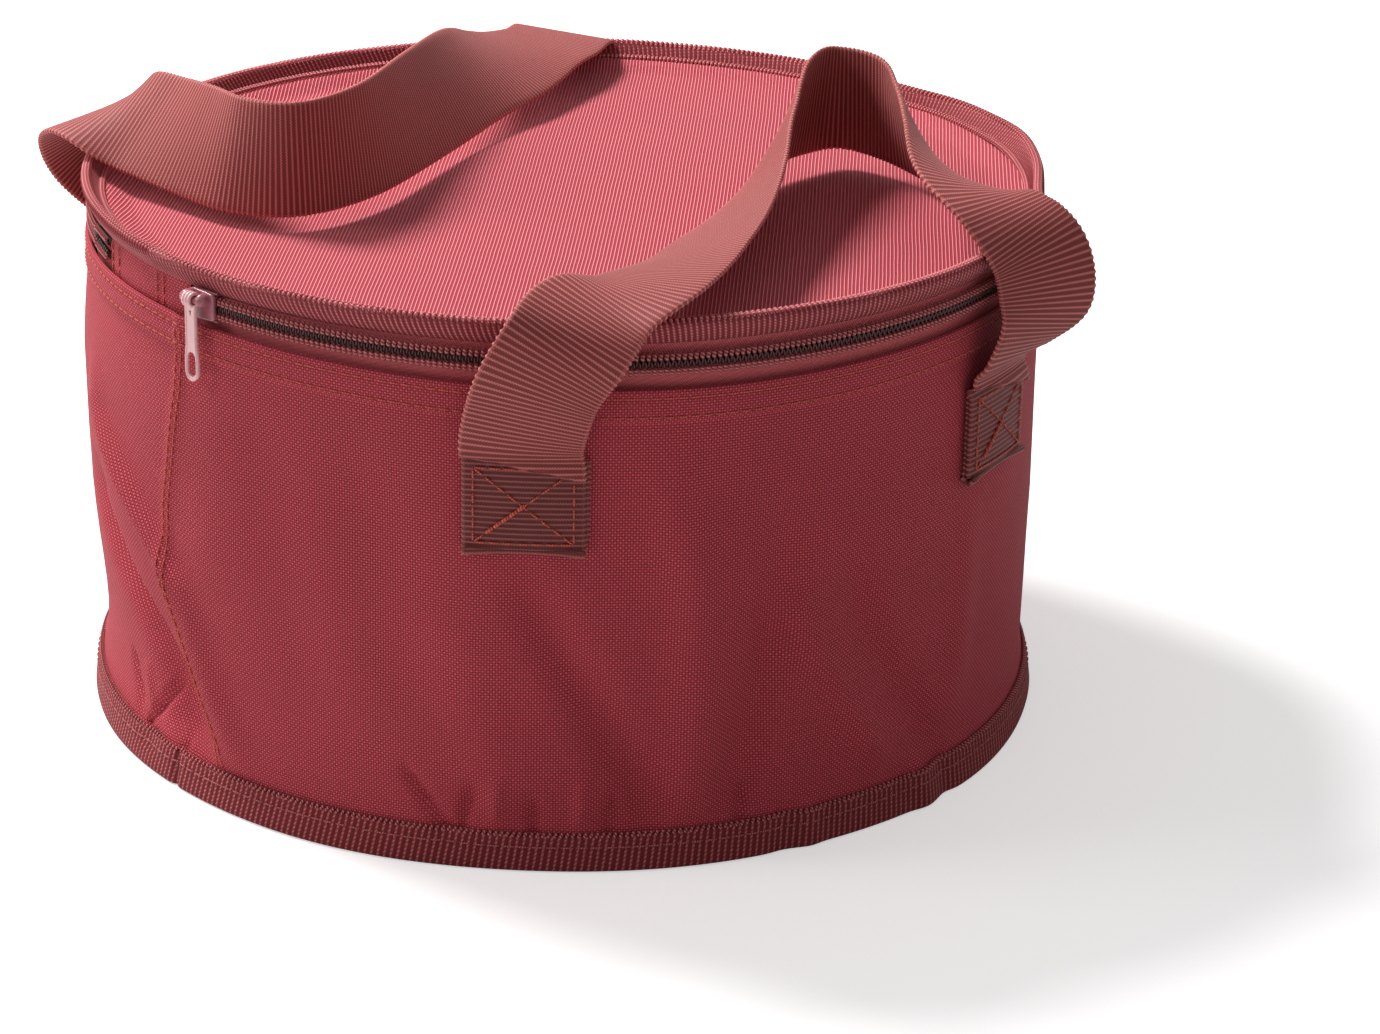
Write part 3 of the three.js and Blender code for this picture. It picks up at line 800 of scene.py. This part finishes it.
def foot_shift(angle, height):
    """How the binding wanders out and in, with its kinks, its pinches at the top edge and
    the notch of its join."""
    wave = 0.45 * np.sin(np.radians(4 * angle + 30)) + 0.25 * np.sin(np.radians(9 * angle))
    wave = wave * (1 - height / 14) + bumps(angle, FOOT_KINKS)
    pinched = bumps(angle, FOOT_PINCHES) * smooth(height, 5.0, 7.0)
    return wave + pinched - around(angle, 186.2, 0.5)


def foot_profile(angles):
    """Folded tape from its top edge on the wall down to the floor and back up."""
    heights = FOOT_SECTION[None, :, 1]
    radii = FOOT_SECTION[None, :, 0] + foot_shift(angles, heights)
    return radii, np.broadcast_to(heights, radii.shape)


def foot_radius(angle, height):
    """Outside of the binding at a height."""
    outside = np.interp(height, FOOT_OUTSIDE[:, 1], FOOT_OUTSIDE[:, 0])
    return outside + foot_shift(angle, height)


def bottom_binding():
    piece = ring_cloth("foot_binding", foot_profile, foot_tape, 1440, pitch=FOOT_PITCH)
    attach(piece, "bag", "bottom_binding")
    angles = np.linspace(0, 360, 1441) + 188
    line = polar(foot_radius(angles, 7.0) + 0.05, angles, 7.0)
    rows = stitch_line(line, polar(1.0, angles, 0.35), length=3.0, gap=0.9)
    thread_row = stitches("foot_stitching", *rows, radius=0.24, material=dusky_thread)
    places = np.linspace(0, 360, 540, endpoint=False)
    edge = foot_radius(places, 9.7)
    starts = polar(edge - 0.35, places, 9.3)
    ends = polar(edge - 1.0, places + 0.35, 10.7)
    normals = polar(0.8, places, 0.6)
    loops = stitches("foot_edge_loops", starts, ends, normals, radius=0.42, material=dusky_thread)
    for extra in (thread_row, loops):
        attach(extra, "bag")


# Zip tapes and chain

def tape(name, node, body, low, high):
    """Zip tape between two heights, each given as a function of the angle."""
    def profile(angles):
        bottom = low(angles)
        heights = bottom + (high(angles) - bottom) * np.linspace(0, 1, 7)
        return both_sides(np.full(heights.shape, TAPE_RADIUS), heights, TAPE_THICKNESS)

    piece = ring_cloth(name, profile, zip_tape, 720, pitch=TAPE_PITCH, span=TAPE)
    attach(piece, body, node)
    return piece


def zip_tapes():
    lower = tape(
        "lower_tape_cloth", "lower_zip_tape", "bag",
        lambda angle: hem_line(angle) - 6.0, lambda angle: zip_line(angle) - 0.7,
    )
    upper = tape(
        "upper_tape_cloth", "upper_zip_tape", "lid",
        lambda angle: zip_line(angle) + 0.7, lambda angle: RIM_FOOT + 0 * angle,
    )


def rows_parted(angle, gap):
    """How far a row moves off where the slider rests with the zip open."""
    return gap * smooth(angle, CHAIN[1] - 6.5, CHAIN[1] - 5.2)


def coil(name, node, body, side):
    """One row of the chain: a flat spring of nylon, its heads between the other row's."""
    turns = int(np.radians(CHAIN[1] - CHAIN[0]) * COIL_RADIUS / COIL_PITCH)
    turn_angle = np.degrees(COIL_PITCH / COIL_RADIUS)
    steps = 12
    k = np.arange(turns * steps + 1)
    phase = k * 2 * math.pi / steps
    shift = 0.25 * (1 + side)
    angle = CHAIN[0] + (k / steps + shift) * turn_angle
    wide = np.sign(np.cos(phase)) * np.abs(np.cos(phase)) ** 0.8
    radius = COIL_RADIUS + 0.55 * np.sin(phase)
    height = zip_line(angle) + side * (0.5 - 1.1 * wide + rows_parted(angle, 1.5))
    path = polar(radius, angle, height)[None]
    wire = np.full(len(k), COIL_WIRE)
    piece = tubes(name, path, wire, polar(1.0, angle, 0.0)[None], coil_nylon, sides=5)
    attach(piece, body, node)
    places = CHAIN[0] + (np.arange(turns) + 0.5) * turn_angle
    inner = zip_line(places) + side * (1.15 + rows_parted(places, 1.0))
    outer = zip_line(places) + side * 2.95
    lean = 0.12
    starts = polar(COIL_RADIUS + 0.62, places, inner)
    ends = polar(COIL_RADIUS + 0.25, places + lean, outer)
    normals = polar(1.0, places, 0.0)
    loops = stitches(name + "_thread", starts, ends, normals, radius=0.58, material=dusky_thread)
    attach(loops, body)


# Hinge panel

def hinge_panel():
    """Strip of wall cloth over both ends of the zip, swelling a little near the hinge."""
    def profile(angles):
        rise = np.linspace(0, 1, 30)
        heights = HINGE_FOOT + (RIM_FOOT - 0.1 - HINGE_FOOT) * rise + 0 * angles
        swell = 0.5 * np.sin(np.pi * rise) ** 2 * around(angles, *HINGE_SWELL)
        return both_sides(HINGE_RADIUS + swell, heights, HINGE_CLOTH)

    piece = ring_cloth("hinge_cloth", profile, wall_cloth, 60, pitch=WALL_THREAD[0], span=HINGE)
    heights = np.linspace(HINGE_FOOT + 1, RIM_FOOT - 0.6, 12)
    lines = []
    for place in (HINGE[0] + 0.7, HINGE[0] + 3.0, 183.2, 184.6, HINGE[1] - 0.6):
        radius = HINGE_RADIUS + HINGE_CLOTH / 2 + 0.1 + 0.35 * around(place, *HINGE_SWELL)
        points = polar(radius, place, heights)
        normals = polar(1.0, place, 0 * heights)
        lines.append(stitch_line(points, normals, length=2.2, gap=0.7))
    seams = stitches("hinge_stitching", *join_lines(lines), radius=0.24, material=orange_thread)
    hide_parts("hinge_panel")
    for each in (piece, seams):
        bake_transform(each)


# Lid

def lid_height(x, y, radius):
    """Top of the lid cloth: a shallow dish with slow waves."""
    edge = smooth(radius, LID_RADIUS - 9, LID_RADIUS)
    wave = 0.35 * np.sin(x / 41 + 0.6) * np.cos(y / 37) + 0.2 * np.sin((x + y) / 23)
    return LID_EDGE - LID_DIP * (1 - edge) + wave * (1 - edge)


def lid_panel():
    """Disc of ribbed cloth, with its top and its underside."""
    rings = np.concatenate([np.linspace(0, 118, 44), np.linspace(119.5, LID_RADIUS, 14)])
    angles = np.arange(0, 360, 2.0)
    x, y, _ = np.moveaxis(polar(rings[None], angles[:, None], 0.0), -1, 0)
    top = lid_height(x, y, rings[None])
    over = np.stack([x, y, top], -1)
    under = np.stack([x, y, top - LID_THICKNESS], -1)
    piece = disc("lid_cloth_disc", np.concatenate([under, over[:, ::-1]], 1), lid_cloth)
    attach(piece, "lid", "lid_panel")


def rim_wave(angle):
    """Slow wander of the standing rim."""
    return 0.5 * np.sin(np.radians(3 * angle + 10)) + 0.25 * np.sin(np.radians(8 * angle))


# Radius and height round the folded tape, from its foot outside
RIM_SECTION = np.array([
    [133.7, 147.3], [134.7, 148.3], [135.6, 149.7], [136.35, 151.2], [136.9, 152.6],
    [137.0, 153.6], [136.5, 154.4], [135.6, 154.7], [134.7, 154.2], [133.8, 153.0],
    [132.9, 151.6], [132.0, 150.2], [131.5, 149.2], [132.2, 148.2], [133.0, 147.6],
])


# Where the rim leans further out or in, as (angle, how far out, width)
RIM_BULGES = ((345, 3.4, 9), (357, 1.6, 6), (10, -2.2, 8), (321, -2.6, 9))


def rim_moved(angles, radius, height):
    """A point of the rim's section, moved as the rim wanders there."""
    rise = (height - RIM_LOW) / RIM_RISE
    out = 0.6 * rim_wave(angles) + bumps(angles, RIM_BULGES)
    lower = 0.3 * (1 + np.sin(np.radians(2 * angles + 70)))
    return radius + rise * out, height - rise * lower


def rim_profile(angles):
    """Folded tape that stands round the lid and leans outwards."""
    radii, heights = rim_moved(angles, RIM_SECTION[None, :, 0], RIM_SECTION[None, :, 1])
    rise = (RIM_SECTION[None, :, 1] - RIM_LOW) / RIM_RISE
    place = np.radians(angles - SEAM_ANGLE) * WALL_RADIUS
    rib = 0.2 * np.cos(2 * np.pi * place / RIM_PITCH)
    return radii + rib * rise, heights + rib * rise * 0.8


def rim_loops(name, start, end, normal, radius, count):
    """Threads across the rim between two points of its section, one beside the other."""
    places = np.linspace(0, 360, count, endpoint=False)
    ends = [rim_moved(places, *point) for point in (start, end)]
    lines = [polar(place[0], places, place[1]) for place in ends]
    made = stitches(name, *lines, polar(normal[0], places, normal[1]), radius, pink_thread)
    attach(made, "lid")


def lid_binding():
    steps = int(5 * 2 * math.pi * WALL_RADIUS / RIM_PITCH)
    piece = ring_cloth("rim_binding", rim_profile, rim_tape, steps, pitch=RIM_PITCH)
    attach(piece, "lid", "lid_binding")
    rim_loops(
        "rim_edge_loops", start=(132.3, 150.5), end=(130.7, 149.75), normal=(-0.4, 0.9),
        radius=0.5, count=640,
    )
    rim_loops(
        "rim_top_loops", start=(134.5, 154.1), end=(136.7, 154.2), normal=(0.1, 1.0),
        radius=0.55, count=540,
    )


# Webbing handles

def catmull_rom(rows, steps):
    """Smooth run through the rows, and each sample's place counted in stations."""
    padded = np.vstack([2 * rows[0] - rows[1], rows, 2 * rows[-1] - rows[-2]])
    t = (np.arange(steps) / steps)[:, None]
    parts = []
    for a, b, c, d in zip(padded, padded[1:], padded[2:], padded[3:]):
        bend = (2 * a - 5 * b + 4 * c - d) * t ** 2 + (3 * b - a - 3 * c + d) * t ** 3
        parts.append((2 * b + (c - a) * t + bend) / 2)
    run = np.vstack([*parts, rows[-1:]])
    return run, np.arange(len(run)) / steps


def free_run(drape):
    """Centre line and width direction of a free strap, in mm."""
    rows = np.array(drape, float)
    heading = np.radians(rows[:, 3])
    tilt = np.radians(rows[:, 4])
    width = np.stack([
        np.cos(heading) * np.cos(tilt), np.sin(heading) * np.cos(tilt), np.sin(tilt),
    ], 1)
    run, station = catmull_rom(np.hstack([rows[:, :3], width]), 24)
    centre = run[:, :3] * WALL_RADIUS + np.array([0, 0, STRAP_FOOT])
    along = unit(np.gradient(centre, axis=0))
    across = unit(run[:, 3:])
    square = np.minimum(1, np.minimum(station, station[-1] - station) / 2)[:, None]
    across = unit(across - square * np.sum(across * along, 1, keepdims=True) * along)
    return centre, across


def sewn_run(angle, across):
    """Outer layer of a sewn end, from its bottom fold up to the free strap."""
    heights = np.linspace(SEWN_FOOT + 0.9, STRAP_FOOT - 1.2, 16)
    centre = polar(SEWN_RADIUS, angle, heights)
    return centre, np.broadcast_to(across, centre.shape)


def resample(centre, across, spacing):
    """The line in even steps, with its width directions and the place of each step."""
    place = run_length(centre)
    steps = np.linspace(0, place[-1], int(place[-1] / spacing))
    return sampled(steps, place, centre), unit(sampled(steps, place, across)), steps


def soften(points, passes, held):
    """Rounds corners of a dense line, with the first and last points held."""
    for _ in range(passes):
        before = points[held - 1:-held - 1]
        after = points[held + 1:len(points) - held + 1]
        points[held:-held] = (before + 2 * points[held:-held] + after) / 4
    return points


def web_section():
    """Outline across the webbing as (width, thickness), once round from the left edge."""
    edge = [(0.2, 0.45), (0.8, 0.68)]
    half = WEB_WIDTH / 2
    left = [(inset - half, rise) for inset, rise in edge]
    flat = [(t, WEB_HALF) for t in (-13.5, -9.0, -4.5, 0.0, 4.5, 9.0, 13.5)]
    right = [(half - inset, rise) for inset, rise in reversed(edge)]
    top = [*left, *flat, *right]
    under = [(t, -rise) for t, rise in reversed(top)]
    return np.array([(-half, 0.0), *top, (half, 0.0), *under])


SECTION = web_section()


def lip(place, t):
    """Bulge where the free strap falls over the slanted top of its sewn end."""
    above = place - (LIP_HEIGHT - SEWN_FOOT - 0.9) + LIP_SLOPE * t
    return 2.0 * smooth(above, -0.4, 0.2) * np.exp(-np.clip(above, 0, None) / 7.0)


def web_band(name, centre, across, bow, lips=False):
    """Webbing along a line. bow is how far the width curves round the wall, 0 to 1."""
    along = unit(np.gradient(centre, axis=0))
    out = unit(np.cross(across, along))
    place = run_length(centre)
    rib = np.cos(2 * np.pi * place / WEB_PITCH)[:, None]
    t = SECTION[None, :, 0]
    face = SECTION[None, :, 1]
    t_ribbed = t * (1 + 0.012 * rib * (np.abs(t) > 15))
    lift = face * (1 + 0.08 * rib) - bow[:, None] * t ** 2 / (2 * WALL_RADIUS)
    if lips:
        lift = lift + lip(place[:, None], t) + lip(place[-1] - place[:, None], -t)
    points = (
        centre[:, None] + across[:, None] * t_ribbed[..., None] + out[:, None] * lift[..., None]
    )
    v = np.concatenate([SECTION[:, 0], SECTION[:1, 0]])
    weave = np.stack(np.meshgrid(place, v, indexing="ij"), -1)
    return grid(name, points, weave, webbing, tube=True)


def handle(name, drape, left, right):
    """One handle: webbing from sewn end to sewn end, and both of these."""
    centre, across = free_run(drape)
    left_centre, left_across = sewn_run(SEWN_ANGLES[left], across[0])
    right_centre, right_across = sewn_run(SEWN_ANGLES[right], across[-1])
    whole = np.vstack([left_centre, centre, right_centre[::-1]])
    width = np.vstack([left_across, across, right_across[::-1]])
    points, width, place = resample(whole, width, WEB_PITCH / 6)
    points = soften(points, passes=40, held=60)
    width = unit(soften(width, passes=40, held=60))
    from_end = np.minimum(place, place[-1] - place)
    bow = 1 - smooth(from_end, 24, 46)
    strap = web_band(name + "_strap_web", points, width, bow, lips=True)
    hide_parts(name + "_strap")
    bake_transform(strap)
    for node, side in ((left, across[0]), (right, -across[-1])):
        sewn_fold(node, SEWN_ANGLES[node], side)
        sewn_stitching(node, SEWN_ANGLES[node], side)


def sewn_fold(node, angle, across):
    """Inner layer of a sewn end with the fold at its foot."""
    outward = polar(1.0, angle, 0.0)
    turn = np.linspace(0, math.pi, 14)
    middle = SEWN_RADIUS - WEB_HALF
    heights = np.linspace(SEWN_TOP - 0.4, SEWN_FOOT + 0.95, 20)
    inner = np.stack([np.full(20, middle - WEB_HALF), heights], 1)
    fold = np.stack(
        [middle - WEB_HALF * np.cos(turn), SEWN_FOOT + 0.9 - 0.75 * np.sin(turn)], 1
    )
    section = np.concatenate([inner, fold])
    centre = section[:, :1] * outward + np.array([0, 0, 1.0]) * section[:, 1:]
    centre = centre + 0.9 * across * smooth(section[:, 1:], SEWN_FOOT, SEWN_FOOT + 4)
    points, width, _ = resample(centre, np.broadcast_to(across, centre.shape), WEB_PITCH / 6)
    piece = web_band(node + "_web", points, -width, np.ones(len(points)))
    attach(piece, "bag", node)


def sewn_stitching(node, angle, across):
    """Box and cross through both layers of a sewn end, with the lock stitch over them."""
    outward = polar(1.0, angle, 0.0)

    def on_end(t, height):
        """Points on the sewn end's outside, t mm beside its middle."""
        radius = SEWN_RADIUS + WEB_HALF + 0.12 - t ** 2 / (2 * WALL_RADIUS)
        lift = np.asarray(height, float)[:, None] * np.array([0, 0, 1.0])
        return radius[:, None] * outward + t[:, None] * across + lift

    half = WEB_WIDTH / 2 - 3.0
    low = SEWN_FOOT + 2.6
    high = SEWN_TOP - 2.4
    corners = [(-half, low), (half, low), (half, high), (-half, high), (-half, low)]
    crosses = [((-half, high), (half, low)), ((-half, low), (half, high))]
    sides = [*zip(corners, corners[1:]), *crosses]
    lines = []
    for (t0, h0), (t1, h1) in sides:
        t = np.linspace(t0, t1, 30)
        points = on_end(t, np.linspace(h0, h1, 30))
        normals = np.broadcast_to(outward, points.shape)
        lines.append(stitch_line(points, normals, length=2.6, gap=0.8))
    seam = stitches(node + "_stitching", *join_lines(lines), radius=0.26, material=orange_thread)
    t = np.linspace(-half * 0.75, 0.5, 12)
    points = on_end(t, low + (t + half) / (2 * half) * (high - low) + 0.15)
    rows = stitch_line(points, np.broadcast_to(outward, points.shape), length=2.2, gap=0.3)
    lock = stitches(node + "_lock_stitch", *rows, radius=0.5, material=orange_thread)
    for each in (seam, lock):
        attach(each, "bag")


# Slider and pull tab, in their own frame: x outwards, y along the chain, z up

def plate(name, outlines, radius, depth, bevel):
    """Flat plate from closed outlines of (y, z), the first one outside, the rest holes. It
    stands upright at a radius from the bag's axis."""
    data = bpy.data.curves.new(name, "CURVE")
    data.dimensions = "2D"
    data.fill_mode = "BOTH"
    data.extrude = max(depth / 2 - bevel, 0) * MM
    data.bevel_depth = bevel * MM
    data.bevel_resolution = 2
    for outline in outlines:
        line = data.splines.new("POLY")
        line.points.add(len(outline) - 1)
        for point, (y, z) in zip(line.points, outline):
            point.co = (y * MM, z * MM, 0, 1)
        line.use_cyclic_u = True
    holder = add_object(name, data)
    graph = bpy.context.evaluated_depsgraph_get()
    mesh = bpy.data.meshes.new_from_object(holder.evaluated_get(graph))
    bpy.data.objects.remove(holder)
    bpy.data.curves.remove(data)
    mesh.transform(Matrix(((0, 0, 1, radius * MM), (1, 0, 0, 0), (0, 1, 0, 0), (0, 0, 0, 1))))
    return mesh


def rounded(points, radius):
    """Closed outline with its corners rounded."""
    points = [np.array(p, float) for p in points]
    made = []
    for before, corner, after in zip([points[-1], *points], points, [*points[1:], points[0]]):
        start = corner + (before - corner) / np.linalg.norm(before - corner) * radius
        end = corner + (after - corner) / np.linalg.norm(after - corner) * radius
        for t in np.linspace(0, 1, 5):
            made.append((1 - t) ** 2 * start + 2 * t * (1 - t) * corner + t ** 2 * end)
    return [tuple(p) for p in made]


def arc(centre, radius, start, end, steps):
    """Points on part of a circle."""
    turn = np.radians(np.linspace(start, end, steps))
    return [(centre[0] + radius * math.cos(a), centre[1] + radius * math.sin(a)) for a in turn]


def swept(name, path, radii, towards):
    """Round bar as a mesh, of one radius or of one for each point of its path."""
    sides = 12
    radii = np.broadcast_to(radii, len(path))
    towards = np.asarray(towards, float)[None, None]
    piece = tubes(name, path[None], radii, towards, slider_paint, sides, ends=sides)
    mesh = piece.data
    bpy.data.objects.remove(piece)
    return mesh


def assembled(name, meshes, material, body, node):
    """One object of several meshes, turned to the slider's place on the bag."""
    whole = bpy.data.meshes.new(name)
    points, faces = [], []
    for mesh in meshes:
        start = len(points)
        points += [tuple(v.co) for v in mesh.vertices]
        faces += [tuple(start + i for i in p.vertices) for p in mesh.polygons]
        bpy.data.meshes.remove(mesh)
    whole.from_pydata(points, [], faces)
    whole.transform(Matrix.Rotation(math.radians(SLIDER_ANGLE), 4, "Z"))
    whole.update()
    piece = link(whole, name, material)
    whole.set_sharp_from_angle(angle=math.radians(40))
    attach(piece, body, node)
    return piece


def zip_slider():
    """Front and back plate, two flanges, the post between the rows, and the bridge."""
    widths = (5.5, 5.5, -2.3, -5.5, -5.5, -2.3)
    plates = (
        (SLIDER_FRONT, 0.4, (-2.6, 4.0, 4.4, 2.4, -1.5, -3.0)),
        (SLIDER_BACK, 0.35, (-2.9, 2.9, 3.5, 1.6, -1.6, -3.5)),
    )
    meshes = []
    for radius, bevel, levels in plates:
        outline = rounded([(y, SLIDER_HEIGHT + z) for y, z in zip(widths, levels)], radius=0.8)
        meshes.append(plate("plate", [outline], radius, depth=1.2, bevel=bevel))
    for side in (-1, 1):
        edge = SLIDER_HEIGHT + side * 3.75
        path = np.array([[SLIDER_MIDDLE, y, edge] for y in np.linspace(-1.9, 5.2, 8)])
        meshes.append(swept("flange", path, 0.42, (0, 0, 1)))
    run = np.linspace(SLIDER_BACK, SLIDER_FRONT, 6)
    post = np.array([[x, -4.1, SLIDER_HEIGHT] for x in run])
    meshes.append(swept("post", post, 0.3, (0, 0, 1)))
    turn = np.linspace(-math.pi / 2, math.pi / 2, 25)
    root = SLIDER_FRONT + 0.1
    x = root + (BAR_RADIUS - root) * np.abs(np.cos(turn)) ** 0.45
    y = 3.0 * np.sign(np.sin(turn)) * np.abs(np.sin(turn)) ** 0.6
    bridge = np.stack([x, y, np.full(25, BAR_HEIGHT)], 1)
    thick = 1.0 + 0.8 * smooth(np.abs(y), 1.8, 2.8)
    meshes.append(swept("bridge", bridge, thick, (0, 0, 1)))
    assembled("slider_body", meshes, slider_paint, "slider", "zip_slider")


def pull_tab():
    """Tongue with a slot in its round foot, a raised border, and eyes on the bridge."""
    top = BAR_HEIGHT - 1.3
    neck = 1.9
    wide = 2.4
    side = [(neck, top), (neck, TAB_FOOT + 9.6), (wide, TAB_FOOT + 6.1)]
    outer = [*side, *arc((0, TAB_FOOT + wide), wide, 0, -180, 17)]
    outer += [(-y, z) for y, z in reversed(side)]
    slot = arc((0, TAB_FOOT + 6.2), 1.75, 0, 180, 11)
    slot += arc((0, TAB_FOOT + 2.7), 1.9, 180, 360, 11)
    notch = [(-0.75, top - 1.6), (0.75, top - 1.6), (0.0, top - 4.0)]
    meshes = [plate("tongue", [outer, slot, notch], BAR_RADIUS, depth=0.8, bevel=0.2)]
    border = np.array([(BAR_RADIUS + 0.3, 0.88 * y, z) for y, z in outer])
    meshes.append(swept("border", border, 0.32, (1, 0, 0)))
    ring = arc((BAR_RADIUS, BAR_HEIGHT), 1.65, 0, 360, 29)
    for y in (-1.1, 0.0, 1.1):
        eye = np.array([(x, y, z) for x, z in ring])
        meshes.append(swept("eye", eye, 0.52, (0, 1, 0)))
    assembled("tab_plate", meshes, tab_paint, "pull", "pull_tab")


# Studio

# Lamps: direction, distance, diameter and watts
KEY = ((-0.242, 0.699, 1.0), 1.8, 0.55, 40.0)
FILL = ((-0.755, 0.32, 0.574), 1.6, 0.6, 5.0)
WORLD_STRENGTH = 0.355
FLOOR_LIFT = 0.48


def soft_lamp(name, direction, distance, size, power):
    """Round lamp that faces the middle of the bag."""
    lamp = bpy.data.lights.new(name, "AREA")
    lamp.shape = "DISK"
    lamp.size = size
    lamp.energy = power
    holder = add_object(name, lamp)
    away = Vector(direction).normalized()
    holder.location = away * distance + Vector((0, 0, 0.08))
    holder.rotation_euler = away.to_track_quat("Z", "Y").to_euler()


def studio():
    """Two soft lamps, and a world that is white where it is seen and lights less."""
    soft_lamp("key", *KEY)
    soft_lamp("fill", *FILL)
    world = bpy.data.worlds.new("studio")
    bpy.context.scene.world = world
    nodes = Nodes(world)
    nodes.tree.nodes.clear()
    path = nodes.add("LightPath").outputs
    seen = nodes.maths("MAXIMUM", path["Is Camera Ray"], path["Is Glossy Ray"])
    seen = nodes.maths("MAXIMUM", seen, path["Is Transmission Ray"])
    strength = nodes.ranged(seen, WORLD_STRENGTH, 1.0)
    background = nodes.add("Background", {"Strength": strength})
    nodes.add("OutputWorld", {"Surface": background.outputs[0]})


def floor():
    """Pale floor that the camera sees lighter than it is, with its shadow kept."""
    mesh = bpy.data.meshes.new("floor")
    half = 4.0
    corners = [(-half, -half, 0), (half, -half, 0), (half, half, 0), (-half, half, 0)]
    mesh.from_pydata(corners, [], [(0, 1, 2, 3)])
    nodes = painted("floor_paint")
    place = nodes.object_place()
    colour = nodes.blend(nodes.noise(place, 2.0), srgb(236, 235, 235), srgb(240, 239, 239))
    nodes.finish(colour, nodes.ranged(nodes.noise(place, 40.0), 0.75, 0.85), None)
    seen = nodes.add("LightPath").outputs["Is Camera Ray"]
    glow = nodes.add("Emission", {"Strength": nodes.times(seen, FLOOR_LIFT)})
    both = nodes.add("AddShader")
    nodes.put(both.inputs[0], nodes.shader.outputs[0])
    nodes.put(both.inputs[1], glow.outputs[0])
    nodes.put(nodes.tree.nodes["Material Output"].inputs["Surface"], both.outputs[0])
    link(mesh, "floor", nodes.owner)


wall_panel()
wall_stitching()
base_panel()
bottom_binding()
zip_tapes()
coil("lower_chain", "lower_zip_coil", "bag", -1)
coil("upper_chain", "upper_zip_coil", "lid", 1)
hinge_panel()
lid_panel()
lid_binding()
handle("front_handle", FRONT_DRAPE, "front_handle_left_end", "front_handle_right_end")
handle("back_handle", BACK_DRAPE, "back_handle_left_end", "back_handle_right_end")
zip_slider()
pull_tab()
floor()
studio()

scene = bpy.context.scene
scene.view_settings.view_transform = "Standard"
